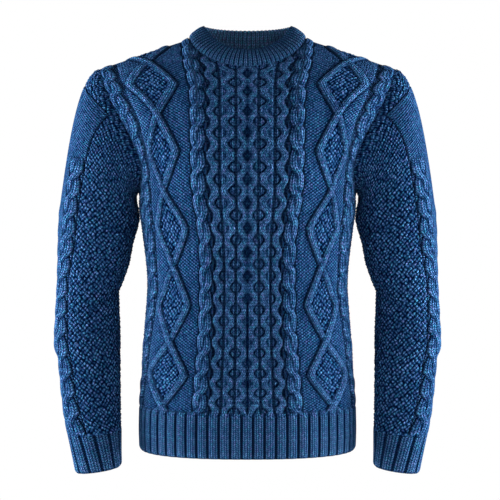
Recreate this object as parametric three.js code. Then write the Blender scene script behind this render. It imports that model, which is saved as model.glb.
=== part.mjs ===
// A fisherman sweater, worn and hollow: front and back panels, two set-in sleeves, and the
// ribbed hem, cuffs and neckband, each a knitted wall with the shape that the garment has on
// a general figure. Millimetres, +Z up. The front faces -Y, and the wearer's left is +X.
// The origin lies between the shoulders at the height of the side neck points, where the
// wearer carries the garment.
import * as THREE from 'three';

// ---- Driving sizes -------------------------------------------------------------------

const WALL = 3.6; // knitted cloth, its low stitches
const BAND_WALL = 6.4; // neckband, knitted double and folded over
const SEAM_GAP = 0.3; // clearance between two pieces at their seam

const UNDERARM_Z = -262;
const HEM_TOP_Z = -621; // the hem's ribs end here
const NECK_HALF = 97; // side neck point, from the centre line
const SHOULDER_HALF = 248; // shoulder tip, from the centre line
const SHOULDER_SLOPE = 0.352; // fall of the shoulder seam for each millimetre outward
const SHOULDER_ROUND = 50; // softens the shoulder slope across the neck
const FRONT_NECK_DROP = 60; // the front neckline's lowest point, under the side neck points
const BACK_NECK_DROP = 11;
const ARMHOLE_DEEP = 66; // front or back of the armhole, from the side seam's plane
const BACK_EASE = 5; // the back is this much wider between its armholes, on each side

// Level rings of the body: height, half-width, and how far front and back stand from the
// side seams' plane.
const BODY = [
  { z: -687, half: 180.5, front: 129, back: 125 },
  { z: -655, half: 181.5, front: 129, back: 125 },
  { z: HEM_TOP_Z, half: 181, front: 128.5, back: 124 },
  { z: -574, half: 180, front: 126, back: 121 },
  { z: -524, half: 177.5, front: 124, back: 116 },
  { z: -474, half: 173.5, front: 123, back: 112 },
  { z: -423, half: 170, front: 124, back: 112 },
  { z: -373, half: 172, front: 127, back: 116 },
  { z: -322, half: 178.5, front: 131, back: 124 },
  { z: -290, half: 182, front: 133, back: 128 },
  { z: UNDERARM_Z, half: 183, front: 134, back: 130.5 },
];
const SECTION_POWER = 2.35; // 2 is an ellipse, more is squarer

// The armhole seam's distance from the centre line, by its share of the way up from the
// underarm to the shoulder tip.
const ARMHOLE = [
  { level: 0, half: 183 },
  { level: 0.06, half: 177 },
  { level: 0.14, half: 174 },
  { level: 0.22, half: 175.5 },
  { level: 0.32, half: 184.5 },
  { level: 0.45, half: 198 },
  { level: 0.65, half: 221 },
  { level: 0.84, half: 237.5 },
  { level: 1, half: SHOULDER_HALF },
];

// How the panels round over to the shoulder seam, as powers of a rounded corner.
const FRONT_ROUND = { up: 2.2, over: 1.94 };
const BACK_ROUND = { up: 2.6, over: 2 };

// Rings of the left sleeve, down the arm: centre, half-width across the front view and from
// front to back, and how far the ring leans up on its outer side, in degrees.
const SLEEVE = [
  { x: 250.8, y: 0, z: -303, across: 66, deep: 66, lean: 4 },
  { x: 255, y: 3, z: -340, across: 63.6, deep: 63, lean: 3 },
  { x: 259.4, y: 6, z: -378, across: 60.4, deep: 60, lean: 2 },
  { x: 265, y: 9, z: -408, across: 56, deep: 57.5, lean: 1 },
  { x: 268.7, y: 9, z: -428, across: 53.2, deep: 55, lean: 0 },
  { x: 269, y: 6, z: -470, across: 54.8, deep: 53, lean: 0 },
  { x: 268.6, y: 0, z: -514, across: 55.6, deep: 52, lean: -1 },
  { x: 264.4, y: -8, z: -543, across: 52.2, deep: 50, lean: -2 },
  { x: 260, y: -20, z: -592, across: 49.6, deep: 46.5, lean: -4 },
  { x: 255.2, y: -32, z: -636, across: 46.6, deep: 43, lean: -6 },
  { x: 251.6, y: -38, z: -658, across: 43.8, deep: 40.5, lean: -7 },
  { x: 247.6, y: -45, z: -688, across: 40.4, deep: 37.5, lean: -7.5 },
  { x: 244, y: -51, z: -715, across: 38, deep: 35, lean: -8 },
];
const CUFF_RING = 10; // the cuff starts at this ring of the table
const SLEEVE_POWER = 2.1; // 2 is an ellipse, more is squarer

// The sleeve cap, between the armhole and the first ring: how it leaves the one and meets the
// other, in millimetres and in shares of the distance between them.
const CAP = {
  leave: 0.28, // length over which it runs straight out of the armhole
  leaveMost: 38, // the same, at most
  arrive: 0.5, // length over which it runs straight down into the ring
  outward: 0.13, // how far the arm swings out for each millimetre down
  swell: 0.35, // how far the cap swells to the front and back as it leaves
};

// The upper edge of the neckband, an oval in plan that dips to the front: dip is its fall for
// each millimetre to the front of dipFrom. The foot is the oval that its lower edge nearly is.
const BAND_TOP = { half: 79, front: -76, back: 56, rim: 23, dip: 0.72, dipFrom: -6 };
const BAND_FOOT = { half: 93, deep: 80 };
const BAND_SWELL = 2.2; // the neckband's roundness, outward at half its height
const BAND_UPRIGHT = 0.6; // share of its height by which it stands square to its own oval

// Rings of the neckband: share of the way up, and share of its full thickness.
const BAND_RINGS = [
  { up: 0, thick: WALL / BAND_WALL },
  { up: 0.32, thick: 1 },
  { up: 0.65, thick: 1 },
  { up: 0.88, thick: 0.9 },
  { up: 1, thick: 0.5 },
];

// ---- Fineness of the walls ------------------------------------------------------------

const NECK_COLUMNS = 5; // from the centre line to the side neck point
const SHOULDER_COLUMNS = 7; // from there to the armhole
const YOKE_ROWS = 11; // from the underarm to the shoulder
const CAP_ROWS = 7; // from the armhole to the first ring of the sleeve
const PROFILE_STEPS = 96; // steps that measure the length along a section
const ROOT_STEPS = 40; // halvings that find where a column meets the neckline
const LOWEST_NECK_LEVEL = 0.4; // the neckline lies above this level of the yoke everywhere

// ---- Curves ---------------------------------------------------------------------------

/** Reads a column of a table between its rows, on a smooth curve through them. */
function smooth(table, key, column, at) {
  const last = table.length - 1;
  const rising = table[last][key] > table[0][key];
  const beyond = (row) => (rising ? row[key] >= at : row[key] <= at);
  const upper = Math.min(Math.max(table.findIndex(beyond), 1), last);
  const slope = (i) => {
    const before = table[Math.max(i - 1, 0)];
    const after = table[Math.min(i + 1, last)];
    return (after[column] - before[column]) / (after[key] - before[key]);
  };
  const a = table[upper - 1];
  const b = table[upper];
  const step = b[key] - a[key];
  const t = (at - a[key]) / step;
  const rise = t * t * (3 - 2 * t);
  return (
    a[column] * (1 - rise) + b[column] * rise +
    slope(upper - 1) * step * t * (1 - t) ** 2 - slope(upper) * step * t * t * (1 - t)
  );
}

/** Height of the shoulder seam's line at a distance x from the centre line. */
function shoulderZ(x) {
  return SHOULDER_SLOPE * (Math.hypot(NECK_HALF, SHOULDER_ROUND) - Math.hypot(x, SHOULDER_ROUND));
}

/** Height of the neckline at a distance x from the centre line. */
function necklineZ(x, drop) {
  return -drop * Math.max(1 - (x / NECK_HALF) ** 2, 0) ** 0.6;
}

/** A quarter of a rounded section, from the centre line to the side seam or the armhole. */
function section(front, z, level) {
  const round = front ? FRONT_ROUND : BACK_ROUND;
  const fall = (1 - level ** round.up) ** (1 / round.over);
  const deep = smooth(BODY, 'z', front ? 'front' : 'back', z) * fall;
  const ease = front ? 0 : BACK_EASE * Math.sin(Math.PI * level);
  const body = smooth(BODY, 'z', 'half', z);
  const half = level > 0 ? smooth(ARMHOLE, 'level', 'half', level) + ease : body;
  const edge = ARMHOLE_DEEP * fall * Math.sqrt(1 - (1 - level) ** 6);
  const open = deep > 0 ? edge / deep : 0;
  const reach = (1 - open ** SECTION_POWER) ** (1 / SECTION_POWER);
  const turn = Math.asin(reach ** (SECTION_POWER / 2));
  const points = [];
  for (let i = 0; i <= PROFILE_STEPS; i++) {
    const angle = (turn * i) / PROFILE_STEPS;
    const x = (half / reach) * Math.sin(angle) ** (2 / SECTION_POWER);
    const y = deep * Math.max(Math.cos(angle), 0) ** (2 / SECTION_POWER);
    points.push(new THREE.Vector2(x, y));
  }
  return points;
}

/** The point at a share of the length along a section. */
function along(points, share) {
  const lengths = [0];
  for (let i = 1; i < points.length; i++) {
    lengths.push(lengths[i - 1] + points[i].distanceTo(points[i - 1]));
  }
  const want = share * lengths[lengths.length - 1];
  const i = Math.min(Math.max(lengths.findIndex((length) => length >= want), 1), points.length - 1);
  const t = (want - lengths[i - 1]) / (lengths[i] - lengths[i - 1]);
  return points[i - 1].clone().lerp(points[i], t);
}

/** A point of the yoke, the part of a panel above the underarm. */
function yokePoint(front, share, level) {
  const p = along(section(front, UNDERARM_Z, level), share);
  return new THREE.Vector3(p.x, p.y, UNDERARM_Z + (shoulderZ(p.x) - UNDERARM_Z) * level);
}

/** How far up the yoke a column runs: to the neckline, or to the shoulder seam. */
function topLevel(front, share) {
  const drop = front ? FRONT_NECK_DROP : BACK_NECK_DROP;
  let low = LOWEST_NECK_LEVEL;
  let high = 1;
  if (share >= NECK_HALF / SHOULDER_HALF) return high;
  for (let i = 0; i < ROOT_STEPS; i++) {
    const middle = (low + high) / 2;
    const p = yokePoint(front, share, middle);
    if (p.z > necklineZ(p.x, drop)) high = middle;
    else low = middle;
  }
  return low;
}

// ---- Walls ----------------------------------------------------------------------------

/** The direction out of a grid of points at one of its points. */
function facing(grid, r, c, closed) {
  const columns = grid[0].length;
  const wrap = (i) => (closed ? (i + columns) % columns : Math.min(Math.max(i, 0), columns - 1));
  const up = grid[Math.min(r + 1, grid.length - 1)][c].clone().sub(grid[Math.max(r - 1, 0)][c]);
  const across = grid[r][wrap(c + 1)].clone().sub(grid[r][wrap(c - 1)]);
  return across.cross(up).normalize();
}

/**
 * A closed wall between two grids of points. A patch of cloth is cut on its short diagonal, and
 * an edge strip from its lower outer corner, so that two edges that meet are cut alike.
 */
function wallGeometry(outer, inner, closed) {
  const columns = outer[0].length;
  const last = outer.length - 1;
  const across = closed ? columns : columns - 1;
  const at = (r, c) => r * columns + (c % columns);
  const within = (r, c) => outer.length * columns + at(r, c);
  const points = [...outer.flat(), ...inner.flat()];
  const index = [];
  const cut = (a, b, c, d, first) => index.push(...(first ? [a, b, c, a, c, d] : [b, c, d, b, d, a]));
  const patch = (a, b, c, d) => {
    cut(a, b, c, d, points[a].distanceTo(points[c]) <= points[b].distanceTo(points[d]));
  };
  const strip = (a, b, c, d) => cut(a, b, c, d, points[a].z <= points[b].z);
  for (let c = 0; c < across; c++) {
    for (let r = 0; r < last; r++) {
      patch(at(r, c), at(r, c + 1), at(r + 1, c + 1), at(r + 1, c));
      patch(within(r, c), within(r + 1, c), within(r + 1, c + 1), within(r, c + 1));
    }
    strip(at(0, c + 1), at(0, c), within(0, c), within(0, c + 1));
    strip(at(last, c), at(last, c + 1), within(last, c + 1), within(last, c));
  }
  for (let r = 0; r < last && !closed; r++) {
    strip(at(r, 0), at(r + 1, 0), within(r + 1, 0), within(r, 0));
    strip(at(r + 1, across), at(r, across), within(r, across), within(r + 1, across));
  }
  const geometry = new THREE.BufferGeometry();
  geometry.setFromPoints(points);
  geometry.setIndex(index);
  geometry.computeVertexNormals();
  return geometry;
}

/** The same grid on the other side of the body, with its columns the other way round. */
function mirrored(grid) {
  return grid.map((row) => row.map((p) => new THREE.Vector3(-p.x, p.y, p.z)).reverse());
}

/** The cloth halfway between two edge points of neighbouring pieces, outside and inside. */
function between(a, b) {
  return {
    outer: a.outer.clone().lerp(b.outer, 0.5),
    inner: a.inner.clone().lerp(b.inner, 0.5),
  };
}

/** Moves every point of one row of a grid by the same step. */
function shifted(row, step) {
  return row.map((p) => p.clone().add(step));
}

// ---- Front and back -------------------------------------------------------------------

/** Shares of the way from the centre line to the edge at which a panel has its columns. */
function columnShares() {
  const neck = NECK_HALF / SHOULDER_HALF;
  const shares = [];
  for (let i = 0; i <= NECK_COLUMNS; i++) shares.push(neck * Math.sin((Math.PI * i) / 2 / NECK_COLUMNS));
  for (let i = 1; i <= SHOULDER_COLUMNS; i++) shares.push(neck + ((1 - neck) * i) / SHOULDER_COLUMNS);
  return shares;
}

/** The direction out of the cloth at a side seam or a shoulder seam, the same for both panels. */
function seamFacing(p) {
  const x = Math.abs(p.x);
  const out = new THREE.Vector3(1, 0, 0);
  if (p.z > UNDERARM_Z) out.set((SHOULDER_SLOPE * x) / Math.hypot(x, SHOULDER_ROUND), 0, 1);
  else out.z = smooth(BODY, 'z', 'half', p.z - 1) - smooth(BODY, 'z', 'half', p.z);
  out.x *= Math.sign(p.x);
  return out.normalize();
}

/** Outer and inner grids of the front or the back, from the hem to the neckline and shoulders. */
function panelGrids(front) {
  const shares = columnShares();
  const tops = shares.map((share) => topLevel(front, share));
  const sign = front ? -1 : 1;
  const half = [];
  for (const { z } of BODY.slice(0, -1)) {
    const points = section(front, z, 0);
    half.push(shares.map((share) => along(points, share)).map((p) => new THREE.Vector3(p.x, p.y, z)));
  }
  for (let i = 0; i <= YOKE_ROWS; i++) {
    const part = i / YOKE_ROWS;
    const rise = part * part * (3 - 2 * part);
    half.push(shares.map((share, c) => yokePoint(front, share, rise * tops[c])));
  }
  const outer = half.map((row) => {
    const placed = row.map((p) => new THREE.Vector3(p.x, sign * (p.y + SEAM_GAP / 2), p.z));
    const other = placed.slice(1).map((p) => new THREE.Vector3(-p.x, p.y, p.z)).reverse();
    return front ? [...other, ...placed] : [...other, ...placed].reverse();
  });
  const inner = outer.map((row, r) => row.map((p, c) => {
    const onSeam = Math.abs(p.y) < SEAM_GAP;
    return p.clone().addScaledVector(onSeam ? seamFacing(p) : facing(outer, r, c, false), -WALL);
  }));
  return { outer, inner };
}

/** Splits a panel's or a sleeve's grids at a row, with the seam's gap between the two. */
function splitAt(grids, row, step) {
  const cut = (grid) => ({
    first: [...grid.slice(0, row), shifted([...grid[row]], step.clone().multiplyScalar(-0.5))],
    second: [shifted([...grid[row]], step.clone().multiplyScalar(0.5)), ...grid.slice(row + 1)],
  });
  const outer = cut(grids.outer);
  const inner = cut(grids.inner);
  return [
    { outer: outer.first, inner: inner.first },
    { outer: outer.second, inner: inner.second },
  ];
}

// ---- Sleeves --------------------------------------------------------------------------

/** The left armhole's edge on a panel, from the underarm to the shoulder tip. */
function armholeEdge(grids, front) {
  const column = front ? grids.outer[0].length - 1 : 0;
  const rows = grids.outer.slice(BODY.length - 1);
  return rows.map((row, i) => ({
    outer: row[column],
    inner: grids.inner[i + BODY.length - 1][column],
  }));
}

/** The armhole as one loop: down the front from the shoulder tip, and up the back. */
function armholeLoop(front, back) {
  const top = front.length - 1;
  const down = front.slice(1, top).reverse();
  return [between(front[top], back[top]), ...down, between(front[0], back[0]), ...back.slice(1, top)];
}

/** Angles round the sleeve, from its outer side over the front, one for each armhole point. */
function loopAngles(loop) {
  const half = loop.length / 2;
  const lengths = [0];
  for (let i = 1; i <= loop.length; i++) {
    lengths.push(lengths[i - 1] + loop[i % loop.length].outer.distanceTo(loop[i - 1].outer));
  }
  return loop.map((_, i) => {
    if (i <= half) return (Math.PI * lengths[i]) / lengths[half];
    return Math.PI * (1 + (lengths[i] - lengths[half]) / (lengths[loop.length] - lengths[half]));
  });
}

/** A signed power, which makes a circle's sine or cosine a rounder or squarer one. */
function squared(value) {
  return Math.sign(value) * Math.abs(value) ** (2 / SLEEVE_POWER);
}

/** A point of the sleeve's ring of the table at an angle from its outer side. */
function ringPoint(ring, angle) {
  const lean = THREE.MathUtils.degToRad(ring.lean);
  const across = ring.across * squared(Math.cos(angle));
  return new THREE.Vector3(
    ring.x + across * Math.cos(lean),
    ring.y - ring.deep * squared(Math.sin(angle)),
    ring.z + across * Math.sin(lean),
  );
}

/** Direction in which the sleeve leaves the armhole, square to its loop. */
function armholeAxis(loop) {
  const top = loop[0].outer;
  const bottom = loop[loop.length / 2].outer;
  const rise = top.clone().sub(bottom).normalize();
  return new THREE.Vector3(rise.z, 0, -rise.x);
}

/** Unit step off a panel's edge at the armhole, square to the edge and to the cloth. */
function stepOff(loop, i, towards) {
  const next = loop[(i + 1) % loop.length].outer;
  const before = loop[(i + loop.length - 1) % loop.length].outer;
  const out = loop[i].outer.clone().sub(loop[i].inner);
  const off = next.clone().sub(before).cross(out).normalize();
  return off.dot(towards.clone().sub(loop[i].outer)) < 0 ? off.negate() : off;
}

/** Outer and inner grids of the left sleeve and its cuff, from the armhole to the wrist. */
function sleeveGrids(front, back) {
  const loop = armholeLoop(armholeEdge(front, true), armholeEdge(back, false));
  const angles = loopAngles(loop);
  const axis = armholeAxis(loop);
  const middle = loop[0].outer.clone().lerp(loop[loop.length / 2].outer, 0.5);
  const beyond = middle.clone().addScaledVector(axis, ARMHOLE_DEEP);
  const steps = loop.map((_, i) => stepOff(loop, i, beyond).multiplyScalar(SEAM_GAP));
  const start = loop.map((p, i) => p.outer.clone().add(steps[i]));
  const down = new THREE.Vector3(CAP.outward, 0, -1).normalize();
  const curves = start.map((p, i) => {
    const end = ringPoint(SLEEVE[0], angles[i]);
    const length = p.distanceTo(end);
    const swell = new THREE.Vector3(0, -CAP.swell * Math.sin(angles[i]), 0).add(axis).normalize();
    const leave = p.clone().addScaledVector(swell, Math.min(length * CAP.leave, CAP.leaveMost));
    const arrive = end.clone().addScaledVector(down, -length * CAP.arrive);
    return new THREE.CubicBezierCurve3(p, leave, arrive, end);
  });
  const outer = [start];
  for (let r = 1; r < CAP_ROWS; r++) {
    const share = r / CAP_ROWS;
    outer.push(curves.map((curve) => curve.getPoint(share)));
  }
  for (const ring of SLEEVE) outer.push(angles.map((angle) => ringPoint(ring, angle)));
  outer.forEach((row) => row.reverse());
  outer.reverse();
  const inner = outer.map((row, r) => row.map((p, c) => {
    const edge = loop.length - 1 - c;
    if (r === outer.length - 1) return loop[edge].inner.clone().add(steps[edge]);
    return p.clone().addScaledVector(facing(outer, r, c, true), -WALL);
  }));
  return { outer, inner };
}

// ---- Neckband -------------------------------------------------------------------------

/** The neckline of a panel, from one side neck point to the other. */
function necklineEdge(grids) {
  const top = grids.outer.length - 1;
  const centre = NECK_COLUMNS + SHOULDER_COLUMNS;
  const from = centre - NECK_COLUMNS;
  const to = centre + NECK_COLUMNS + 1;
  return grids.outer[top].slice(from, to).map((p, i) => ({ outer: p, inner: grids.inner[top][from + i] }));
}

/** A point of the neckband's upper edge, at an angle from the wearer's left over the back. */
function bandTop(angle) {
  const y = Math.sin(angle) * (Math.sin(angle) > 0 ? BAND_TOP.back : -BAND_TOP.front);
  const dip = BAND_TOP.dip * Math.min(y - BAND_TOP.dipFrom, 0);
  return new THREE.Vector3(BAND_TOP.half * Math.cos(angle), y, BAND_TOP.rim + dip);
}

/** The whole neckline as one loop, from the wearer's left over the back. */
function necklineLoop(front, back) {
  const fore = necklineEdge(front); // from the wearer's right to the left
  const aft = necklineEdge(back); // from the wearer's left to the right
  const end = fore.length - 1;
  const left = between(fore[end], aft[0]);
  const right = between(aft[end], fore[0]);
  return [left, ...aft.slice(1, end), right, ...fore.slice(1, end)];
}

/** Outer and inner grids of the neckband, from the neckline to its folded upper edge. */
function bandGrids(front, back) {
  const loop = necklineLoop(front, back);
  const inside = new THREE.Vector3(0, 0, BAND_TOP.rim);
  const outer = BAND_RINGS.map(() => []);
  const inner = BAND_RINGS.map(() => []);
  loop.forEach((edge, i) => {
    const foot = edge.outer.clone().lerp(edge.inner, 0.5);
    foot.addScaledVector(stepOff(loop, i, inside), SEAM_GAP);
    const rise = bandTop(Math.atan2(foot.y / BAND_FOOT.deep, foot.x / BAND_FOOT.half)).sub(foot);
    const cloth = edge.outer.clone().sub(edge.inner).normalize();
    const level = new THREE.Vector3(foot.x, foot.y, 0).normalize();
    BAND_RINGS.forEach(({ up, thick }, r) => {
      const out = cloth.clone().lerp(level, Math.min(up / BAND_UPRIGHT, 1)).normalize();
      const place = foot.clone().addScaledVector(rise, up);
      place.addScaledVector(level, BAND_SWELL * Math.sin(Math.PI * up));
      outer[r].push(place.clone().addScaledVector(out, (BAND_WALL * thick) / 2));
      inner[r].push(place.clone().addScaledVector(out, (-BAND_WALL * thick) / 2));
    });
  });
  return { outer, inner };
}

// ---- The sweater ----------------------------------------------------------------------

const WOOL = { color: 0x234a7d, roughness: 0.95, metalness: 0 };
const RIBS = { color: 0x1f4474, roughness: 0.95, metalness: 0 };

/** One piece of the garment as a named mesh. */
function piece(name, grids, closed, look) {
  const mesh = new THREE.Mesh(
    wallGeometry(grids.outer, grids.inner, closed),
    new THREE.MeshStandardMaterial(look),
  );
  mesh.name = name;
  return mesh;
}

/** The whole garment. */
function sweater() {
  const garment = new THREE.Group();
  const hemRow = BODY.findIndex((ring) => ring.z === HEM_TOP_Z);
  const up = new THREE.Vector3(0, 0, SEAM_GAP);
  const front = panelGrids(true);
  const back = panelGrids(false);
  const [frontHem, frontPanel] = splitAt(front, hemRow, up);
  const [backHem, backPanel] = splitAt(back, hemRow, up);
  const arm = sleeveGrids(front, back);
  const [cuff, sleeve] = splitAt(arm, SLEEVE.length - 1 - CUFF_RING, up);
  const flip = (grids) => ({ outer: mirrored(grids.outer), inner: mirrored(grids.inner) });
  garment.add(
    piece('front_panel', frontPanel, false, WOOL),
    piece('back_panel', backPanel, false, WOOL),
    piece('front_hem_rib', frontHem, false, RIBS),
    piece('back_hem_rib', backHem, false, RIBS),
    piece('left_sleeve', sleeve, true, WOOL),
    piece('right_sleeve', flip(sleeve), true, WOOL),
    piece('left_cuff', cuff, true, RIBS),
    piece('right_cuff', flip(cuff), true, RIBS),
    piece('neckband', bandGrids(front, back), true, RIBS),
  );
  return garment;
}

export default sweater();
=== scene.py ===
"""Looks of a worn fisherman sweater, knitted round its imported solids.

Each piece is a fine skin of cloth on the form of its solid, raised and sunk by charts of the
cables, diamonds, moss and ribs, with a plain coarse skin inside. Sizes in this script are
millimetres and turn into metres where a mesh is made. +Z is up, the front faces -Y, and the
wearer's left is +X.
"""

import logging
import math
from dataclasses import dataclass, field
from enum import Enum
from typing import NamedTuple, Sequence

import bpy
import numpy as np
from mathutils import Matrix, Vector


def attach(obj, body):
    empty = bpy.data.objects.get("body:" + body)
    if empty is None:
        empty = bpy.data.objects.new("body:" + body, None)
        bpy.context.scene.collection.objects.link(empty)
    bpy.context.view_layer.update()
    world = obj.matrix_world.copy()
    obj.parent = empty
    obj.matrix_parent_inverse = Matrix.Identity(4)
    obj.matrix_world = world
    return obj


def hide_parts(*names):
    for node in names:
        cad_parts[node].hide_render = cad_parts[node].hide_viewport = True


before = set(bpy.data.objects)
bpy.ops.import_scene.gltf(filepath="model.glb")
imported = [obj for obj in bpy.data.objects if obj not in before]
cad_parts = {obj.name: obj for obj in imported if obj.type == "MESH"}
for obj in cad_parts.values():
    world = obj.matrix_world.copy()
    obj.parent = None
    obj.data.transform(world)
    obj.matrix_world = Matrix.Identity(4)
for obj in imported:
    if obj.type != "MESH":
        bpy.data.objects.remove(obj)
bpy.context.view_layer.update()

Array = np.ndarray
Socket = bpy.types.NodeSocket

LOG = logging.getLogger("sweater")
MM = 0.001

# ---- Form of the garment ----

WALL = 3.6
BAND_WALL = 6.4
SEAM_GAP = 0.3
UNDERARM_Z = -262.0
HEM_TOP_Z = -621.0
HEM_Z = -687.0
CUFF_TOP_Z = -658.0
WRIST_Z = -715.0
NECK_HALF = 97.0
NECK_POWER = 0.6  # how round the neckline is
SHOULDER_SLOPE = 0.352
SHOULDER_ROUND = 50.0
ARMHOLE_DEEP = 66.0
ARMHOLE_POWER = 6  # how late the armhole closes toward the shoulder tip
ARMHOLE_CENTRE = (215.5, 0.0, -156.0)  # the middle of the wearer's left armhole
SEAM_PULL = 2.0  # how deep a seam draws the cloth in
SEAM_REACH = 5.5
SECTION_POWER = 2.35
SECTION_STEPS = 240
SLEEVE_POWER = 2.1
HOLLOW_REACHES = ((2.6, 0.45), (7.0, 0.25))  # reaches over which valleys get painted shade and crests a painted highlight, and their shares


class BodyRing(NamedTuple):
    """A level ring of the body: half-width, and how far front and back stand out."""

    z: float
    half: float
    front: float
    back: float


class ArmholeRow(NamedTuple):
    """The armhole seam's distance from the centre line, by its share of the way up."""

    level: float
    half: float


class SleeveRing(NamedTuple):
    """A ring of the sleeve: centre, half-widths across and in depth, and its lean."""

    z: float
    x: float
    y: float
    across: float
    deep: float
    lean: float


class SpreadRow(NamedTuple):
    """How far from the centre line three of the front's columns lie at one height.

    The columns are the edge of the honeycomb, the middle of the diamonds and the inner edge of
    the side rope. beyond is the stretch of the cloth outside that rope.
    """

    height: float
    honeycomb: float
    diamond: float
    side: float
    beyond: float


class CellRow(NamedTuple):
    """How tall a cell of the honeycomb is knitted at one height."""

    height: float
    size: float


class RopeRow(NamedTuple):
    """How far round from the sleeve's outer side the middles of its ropes run."""

    height: float
    arc: float


def table(kind: type, *rows: Sequence[object]) -> tuple:
    """Returns plain rows as rows of one kind."""
    return tuple(kind(*row) for row in rows)


BODY = table(
    BodyRing,
    (-687, 180.5, 129, 125), (-655, 181.5, 129, 125), (-621, 181, 128.5, 124),
    (-574, 180, 126, 121), (-524, 177.5, 124, 116), (-474, 173.5, 123, 112),
    (-423, 170, 124, 112), (-373, 172, 127, 116), (-322, 178.5, 131, 124),
    (-290, 182, 133, 128), (-262, 183, 134, 130.5),
)
ARMHOLE = table(
    ArmholeRow,
    (0, 183), (0.06, 177), (0.14, 174), (0.22, 175.5), (0.32, 184.5),
    (0.45, 198), (0.65, 221), (0.84, 237.5), (1, 248),
)
SLEEVE = table(
    SleeveRing,
    (-303, 250.8, 0, 66, 66, 4), (-340, 255, 3, 63.6, 63, 3), (-378, 259.4, 6, 60.4, 60, 2),
    (-408, 265, 9, 56, 57.5, 1), (-428, 268.7, 9, 53.2, 55, 0), (-470, 269, 6, 54.8, 53, 0),
    (-514, 268.6, 0, 55.6, 52, -1), (-543, 264.4, -8, 52.2, 50, -2),
    (-592, 260, -20, 49.6, 46.5, -4), (-636, 255.2, -32, 46.6, 43, -6),
    (-658, 251.6, -38, 43.8, 40.5, -7), (-688, 247.6, -45, 40.4, 37.5, -7.5),
    (-715, 244, -51, 38, 35, -8),
)
SPREAD = table(
    SpreadRow,
    (-621, 65, 147, 211, 0.5), (-590, 62.5, 143, 203, 0.58), (-560, 61, 138.5, 192, 0.72),
    (-510, 57.5, 132, 182, 0.84), (-470, 56, 128.5, 172.5, 0.95),
    (-425, 55.3, 126, 166.5, 1.0), (-380, 55.3, 125, 165.5, 1.0),
    (-335, 57, 126.5, 168, 0.97), (-300, 61, 134, 172, 0.94), (-262, 65.3, 144, 178, 0.9),
    (-220, 66.2, 147, 181, 0.98), (-180, 66.2, 147.5, 183, 1.0),
    (-130, 66.5, 149, 188.5, 1.0), (-90, 68, 153, 202.5, 1.0), (-60, 76, 158, 210, 1.0),
    (-39, 79, 163, 217, 1.0), (0, 82, 173, 224, 1.0),
)
CELLS = table(
    CellRow,
    (-700, 30), (-590, 30), (-540, 32), (-480, 34.3), (-420, 36), (-350, 38.5),
    (-290, 38.5), (-220, 37.3), (-170, 36), (-120, 33), (-60, 31), (0, 31),
)
SLEEVE_ROPES = table(
    RopeRow,
    (-60, 54.5), (-297, 58), (-339, 54), (-372, 47), (-413, 39), (-460, 37.5),
    (-508, 39.5), (-578, 38), (-644, 41.5), (-690, 44), (-720, 45),
)
FOURTH_CELL_Z = -244.0


def read(rows: Sequence[NamedTuple], column: str, at: Array | float) -> Array:
    """Reads a column of a table between its rows, on a smooth curve through them.

    Args:
        rows: The table, whose first column says where each row is, rising or falling.
        column: The column to read.
        at: Where to read it.

    Returns:
        The values, shaped as the places.
    """
    keys = np.array([row[0] for row in rows], float)
    values = np.array([getattr(row, column) for row in rows], float)
    if keys[-1] < keys[0]:
        keys, values = keys[::-1], values[::-1]
    place = np.asarray(at, float)
    last = len(keys) - 1
    upper = np.clip(np.searchsorted(keys, place), 1, last)
    below = np.maximum(np.arange(last + 1) - 1, 0)
    above = np.minimum(np.arange(last + 1) + 1, last)
    slope = (values[above] - values[below]) / (keys[above] - keys[below])
    step = keys[upper] - keys[upper - 1]
    t = np.clip((place - keys[upper - 1]) / step, 0, 1)
    rise = t * t * (3 - 2 * t)
    ends = values[upper - 1] * (1 - rise) + values[upper] * rise
    return ends + step * (slope[upper - 1] * t * (1 - t) ** 2 - slope[upper] * t * t * (1 - t))


def smoothstep(low: float, high: float, value: Array) -> Array:
    """Returns 0 below low, 1 above high and a soft step between them."""
    t = np.clip((value - low) / (high - low), 0, 1)
    return t * t * (3 - 2 * t)


def groove(distance: Array, half: float) -> Array:
    """Returns 1 in the middle of a line and 0 from half its width on either side."""
    return np.clip(1 - np.abs(distance) / half, 0, 1)


def bell(distance: Array, wide: float) -> Array:
    """Returns 1 in a middle and a soft fall to either side of it."""
    return np.exp(-((distance / wide) ** 2))


def shoulder_z(x: Array) -> Array:
    """Returns the height of the shoulder seam's line at a distance from the centre line."""
    reach = math.hypot(NECK_HALF, SHOULDER_ROUND)
    return SHOULDER_SLOPE * (reach - np.hypot(x, SHOULDER_ROUND))


def cells_at(z: Array | float) -> Array:
    """Counts the honeycomb's cells, downward.

    Args:
        z: Heights.

    Returns:
        The count at each height.
    """
    steps = np.linspace(-720, 0, 721)
    size = read(CELLS, "size", steps)
    count = np.concatenate([[0], np.cumsum(2 / (size[1:] + size[:-1]))])
    return 4 - (np.interp(z, steps, count) - np.interp(FOURTH_CELL_Z, steps, count))


def spaced(start: float, end: float, step: float) -> Array:
    """Returns even places from a start to an end, about a step apart."""
    return np.linspace(start, end, round(abs(end - start) / step) + 1)


def unit(vectors: Array) -> Array:
    """Returns vectors scaled to a length of one."""
    return vectors / np.maximum(np.linalg.norm(vectors, axis=-1, keepdims=True), 1e-12)


def moved(points: Array, way: Array, amount: Array) -> Array:
    """Returns points moved by an amount of their own along their directions."""
    return points + way * amount[..., None]


def picked(places: Array, run: Array, values: Array) -> Array:
    """Reads each row of values at its own places along that row's run."""
    return np.stack([np.interp(d, s, row) for d, s, row in zip(places, run, values)])


def lengths_along(points: Array, axis: int) -> Array:
    """Measures a grid of points along one axis.

    Args:
        points: The grid.
        axis: The axis.

    Returns:
        The length run through so far at each point.
    """
    steps = np.linalg.norm(np.diff(points, axis=axis), axis=-1)
    run = np.cumsum(steps, axis=axis)
    return np.concatenate([np.zeros_like(np.take(run, [0], axis)), run], axis)


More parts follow.
